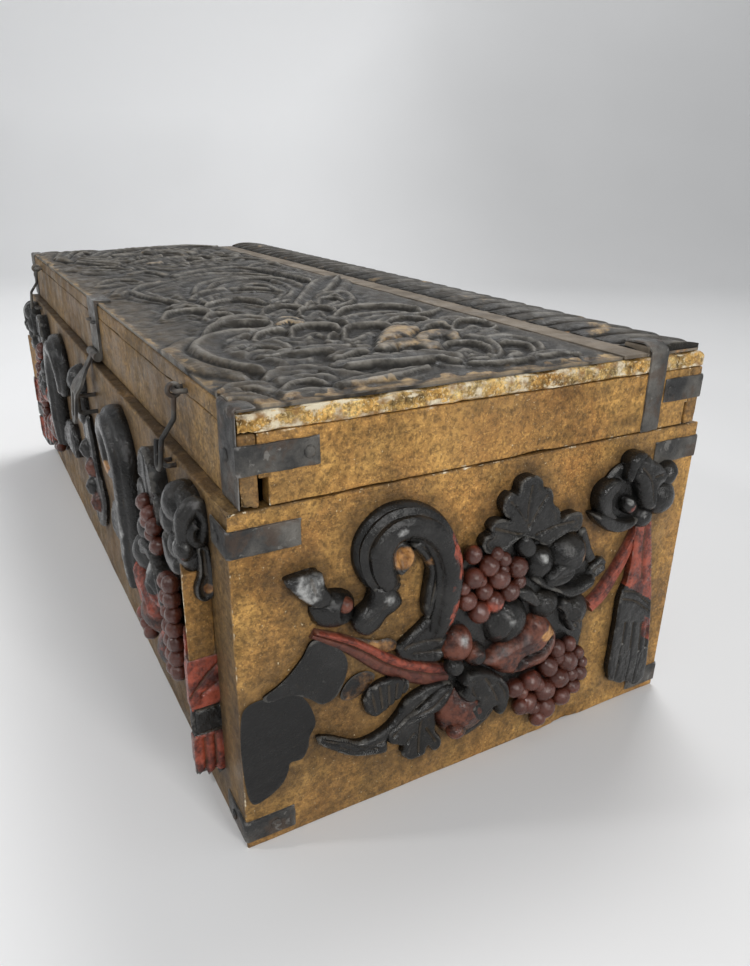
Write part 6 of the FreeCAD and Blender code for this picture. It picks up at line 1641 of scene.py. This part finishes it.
def bent_strip(shells, path, way, low, width, seed, thick=1.2, ragged=0.7):
    """Hammered strip iron bent along path, whose points lie on the wood; way lays (a, b, across) in place."""
    line = []
    for k, point in enumerate(path):
        point = np.array(point, float)
        if k in (0, len(path) - 1):
            line.append(point)
            continue
        back, on = np.array(path[k - 1], float) - point, np.array(path[k + 1], float) - point
        line += [point + back / np.linalg.norm(back) * 0.5, point + on / np.linalg.norm(on) * 0.5]
    fine = [line[0]]
    for a, b in zip(line[:-1], line[1:]):
        pieces = max(1, int(np.linalg.norm(b - a) / 1.1))
        fine += [a + (b - a) * share for share in np.linspace(0, 1, pieces + 1)[1:]]
    fine = np.array(fine)
    ahead, out = headings(fine)
    t = np.array([-1, -0.97, -0.88, -0.7, -0.45, -0.2, 0.0, 0.2, 0.45, 0.7, 0.88, 0.97, 1])
    dome = np.array([0.35, 0.72, 0.94, 1, 1, 1, 1, 1, 1, 1, 0.94, 0.72, 0.35])
    rings = []
    for k in range(len(fine)):
        spot = columns(np.full(len(t), fine[k, 0] * 0.8), t * width / 2 + fine[k, 1] * 0.3,
            np.full(len(t), low + fine[k, 1] * 0.9))
        end = min(k, len(fine) - 1 - k)
        cut = 0.45 if end == 0 else (0.85 if end == 1 else 1.0)
        across = t * (width / 2) * (0.985 if end == 0 else 1.0) * (1 + 0.030 * lumps(spot[6:7], 7.0, seed)
            - 0.020 * (1 + lumps(spot[6:7], 2.6, seed + 4)))
        rise = thick * dome * cut * (0.90 + 0.10 * lumps(spot, 5.0, seed + 2))
        slip = ahead[k] * (ragged * lumps(spot, 3.0, seed + 7))[:, None] * (end < 2)
        top = fine[k] + slip * (-1 if k < 2 else 1) * 0.5 + out[k] * np.minimum(rise, thick)[:, None]
        under = fine[k] + out[k] * 0.03
        rings.append(np.vstack([columns(top, low + width / 2 + across),
            [[*under, low + width / 2 + across[-1]], [*under, low + width / 2 + across[0]]]]))
    points, faces = skin(np.array(rings))
    shells.add(way(points), faces, {})


def corner_straps(shells, front_leg, end_legs, back_leg, front, back, low, seed):
    """A strap round each of the four corners at one height, given by its legs along the boards."""
    for x in (1, -1):
        for y, on_end, on_long, face in ((-1, end_legs[0], front_leg, front),
                (1, end_legs[1], back_leg, back)):
            path = [(x * (END_FACE - on_long), face), (x * END_FACE, face), (x * END_FACE, face - y * on_end)]
            bent_strip(shells, path if x * y > 0 else path[::-1], as_is, low, STRAP_WIDTH, seed + x + 2 * y)


def lay_straps():
    """Corner straps of the case and lid, and the upright strap, bent from thin hammered iron."""
    for name, node, legs, low in (("upper_straps_forged", "upper_corner_straps", (20, (31, 31), 31), 152.0),
            ("lower_straps_forged", "lower_corner_straps", (24, (24, 24), 24), 4.0)):
        shells = Shells()
        corner_straps(shells, *legs, -FRONT_FACE, FRONT_FACE, low, low)
        set_in(shells, name, as_is, IRON, "case", [node], sharp=40)
    shells = Shells()
    corner_straps(shells, 20, (34, 27), 27, LID_FRONT, LID_BACK, 185.9, 31.0)
    plate = [(LID_FRONT, 172.3), (LID_FRONT, PANEL_TOP), (-118.0, PANEL_TOP)]
    for low, seed in ((291.0, 41.0), (-END_FACE, 43.0)):
        bent_strip(shells, plate, lambda p: p[:, [2, 0, 1]], low, 20.0, seed)
    set_in(shells, "lid_straps_forged", as_is, IRON, "lid", ["lid_corner_straps"], sharp=40)
    shells = Shells()
    path = [(293.0, 215.9), (306.0, 216.6), (END_FACE, 213.4), (END_FACE, LID_FOOT)]
    bent_strip(shells, path, lambda p: p[:, [0, 2, 1]], 88.0, 12.0, 51.0)
    set_in(shells, "upright_strap_forged", as_is, IRON, "lid", ["lid_end_strap"], sharp=40)


def dress_plain_nodes():
    """The finish of every CAD node that shows as it is."""
    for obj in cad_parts.values():
        if obj.hide_render:
            continue
        obj.data.materials.clear()
        obj.data.materials.append(IRON)


# ---------------------------------------------------------------- floor, light and camera

def make_stage():
    """A pale floor that curves up into a pale wall behind, painted brighter across it and up the wall as
    painted light.
    """
    turn = math.radians(60.717)
    back = Vector((-math.sin(turn), math.cos(turn), 0))
    side = Vector((back.y, -back.x, 0))
    rows = [(-4.0, 0.0)] + [(1.6 + 0.9 * math.sin(a), 0.9 - 0.9 * math.cos(a)) for a
        in np.linspace(0, math.pi / 2, 25)] + [(2.5, 4.5)]
    points, faces = [], []
    for out, up in rows:
        for across in (-5.0, 5.0):
            points.append(back * out + side * across + Vector((0, 0, up)))
    for k in range(len(rows) - 1):
        faces.append((2 * k, 2 * k + 1, 2 * k + 3, 2 * k + 2))
    mesh = bpy.data.meshes.new("floor_and_wall")
    mesh.from_pydata(points, [], faces)
    mesh.shade_smooth()
    paper = Finish("pale_paper")
    x, y, z = paper.parted(paper.where)
    # Painted light: the camera and reflections see the floor brighter towards one side and the wall brighter
    # towards its top.
    across = paper.plus(paper.times(x, 0.49), paper.times(y, 0.87))
    painted_light_ramp = paper.times(paper.smooth(across, -0.35, 0.65, 1.16, 0.80),
        paper.smooth(z, 0.05, 1.5, 1.0, 1.48))
    rays = paper.put("ShaderNodeLightPath").outputs
    seen = paper.plus(paper.plus(rays["Is Camera Ray"], rays["Is Glossy Ray"]), rays["Is Transmission Ray"],
        clamp=True)
    painted_light_ramp = paper.plus(1.0, paper.times(seen, paper.less(painted_light_ramp, 1.0)))
    shade = paper.smooth(paper.cloud(1.6, 2.0), 0.3, 0.7, 0.735, 0.765)
    shade = paper.sum("MINIMUM", paper.times(shade, painted_light_ramp), 0.97)
    colour = paper.put("ShaderNodeCombineColor", {"Red": shade, "Green": shade,
        "Blue": paper.times(shade, 1.004)})
    material = paper.done({"Base Color": colour.outputs[0], "Roughness": 0.85})
    mesh.materials.append(material)
    show("floor_and_wall", mesh)


def soft_lamp(name, place, aim, size, power, colour=(1.0, 1.0, 1.0)):
    """A broad lamp at a place, turned toward its aim."""
    lamp = bpy.data.lights.new(name, "AREA")
    lamp.shape = "RECTANGLE"
    lamp.size, lamp.size_y = size
    lamp.energy, lamp.color = power, colour
    holder = show(name, lamp)
    place = Vector(place)
    way = (Vector(aim) - place).to_track_quat("-Z", "Y")
    holder.matrix_world = Matrix.Translation(place) @ way.to_matrix().to_4x4()


def make_light():
    """Plain soft light, mostly from above and from the right end's side, and a small lamp for gleams."""
    world = bpy.data.worlds.new("pale_room")
    world.use_nodes = True
    bpy.context.scene.world = world
    world.node_tree.nodes["Background"].inputs["Color"].default_value = (0.86, 0.88, 0.90, 1.0)
    world.node_tree.nodes["Background"].inputs["Strength"].default_value = 0.50
    soft_lamp("overhead", (-0.5, 0.75, 1.9), (0.0, 0.0, 0.1), (0.8, 0.8), 23.0)
    soft_lamp("beside_the_end", (2.4, 0.3, 1.0), (0.2, 0.0, 0.1), (0.6, 0.6), 22.0, (1.0, 0.985, 0.96))
    soft_lamp("left_of_the_end", (1.25, -0.75, 1.35), (0.25, 0.0, 0.1), (0.09, 0.09), 6.0)
    soft_lamp("before_the_front", (-0.35, -1.7, 1.3), (0.1, 0.0, 0.1), (0.14, 0.14), 6.5)


def make_camera():
    """Near the right front corner, looking down at the right end."""
    turn, tip, roll = (math.radians(value) for value in (60.717, 22.274, 0.82))
    back = Vector((math.sin(turn) * math.cos(tip), -math.cos(turn) * math.cos(tip), math.sin(tip)))
    level = Vector((0, 0, 1)).cross(back).normalized()
    upward = back.cross(level)
    across = level * math.cos(roll) + upward * math.sin(roll)
    upward = upward * math.cos(roll) - level * math.sin(roll)
    camera = bpy.data.cameras.new("camera")
    camera.lens, camera.sensor_width = 28.24, 36.0
    camera.clip_start = 0.01
    holder = show("camera", camera)
    turned = Matrix((across, upward, back)).transposed().to_4x4()
    holder.matrix_world = Matrix.Translation((0.5678, -0.2113, 0.2935)) @ turned
    bpy.context.scene.camera = holder


MAROON = painted("maroon_fruit", (0.058, 0.015, 0.0085), (0.20, 0.085, 0.05), (0.100, 0.040, 0.018),
    gloss=0.15, lying=0.03, tarnish=0.45, shine=0.60)
RED = painted("red_cloth", (0.105, 0.028, 0.018), (0.30, 0.16, 0.11), (0.13, 0.075, 0.045), gloss=0.46,
    lying=0.12)

carve_top()
make_gadroon()
make_end("right", on_right_end)
make_end("left", on_left_end)
make_front("right", on_front)
make_front("left", on_front_mirrored)
set_in(make_centre_spray(), "front_middle_spray", on_front, BLACK, "case",
    ["front_centre_spray"])
make_boards()
lay_straps()
nail_heads()
dress_plain_nodes()
make_stage()
make_light()
make_camera()

bpy.context.scene.view_settings.view_transform = "Standard"
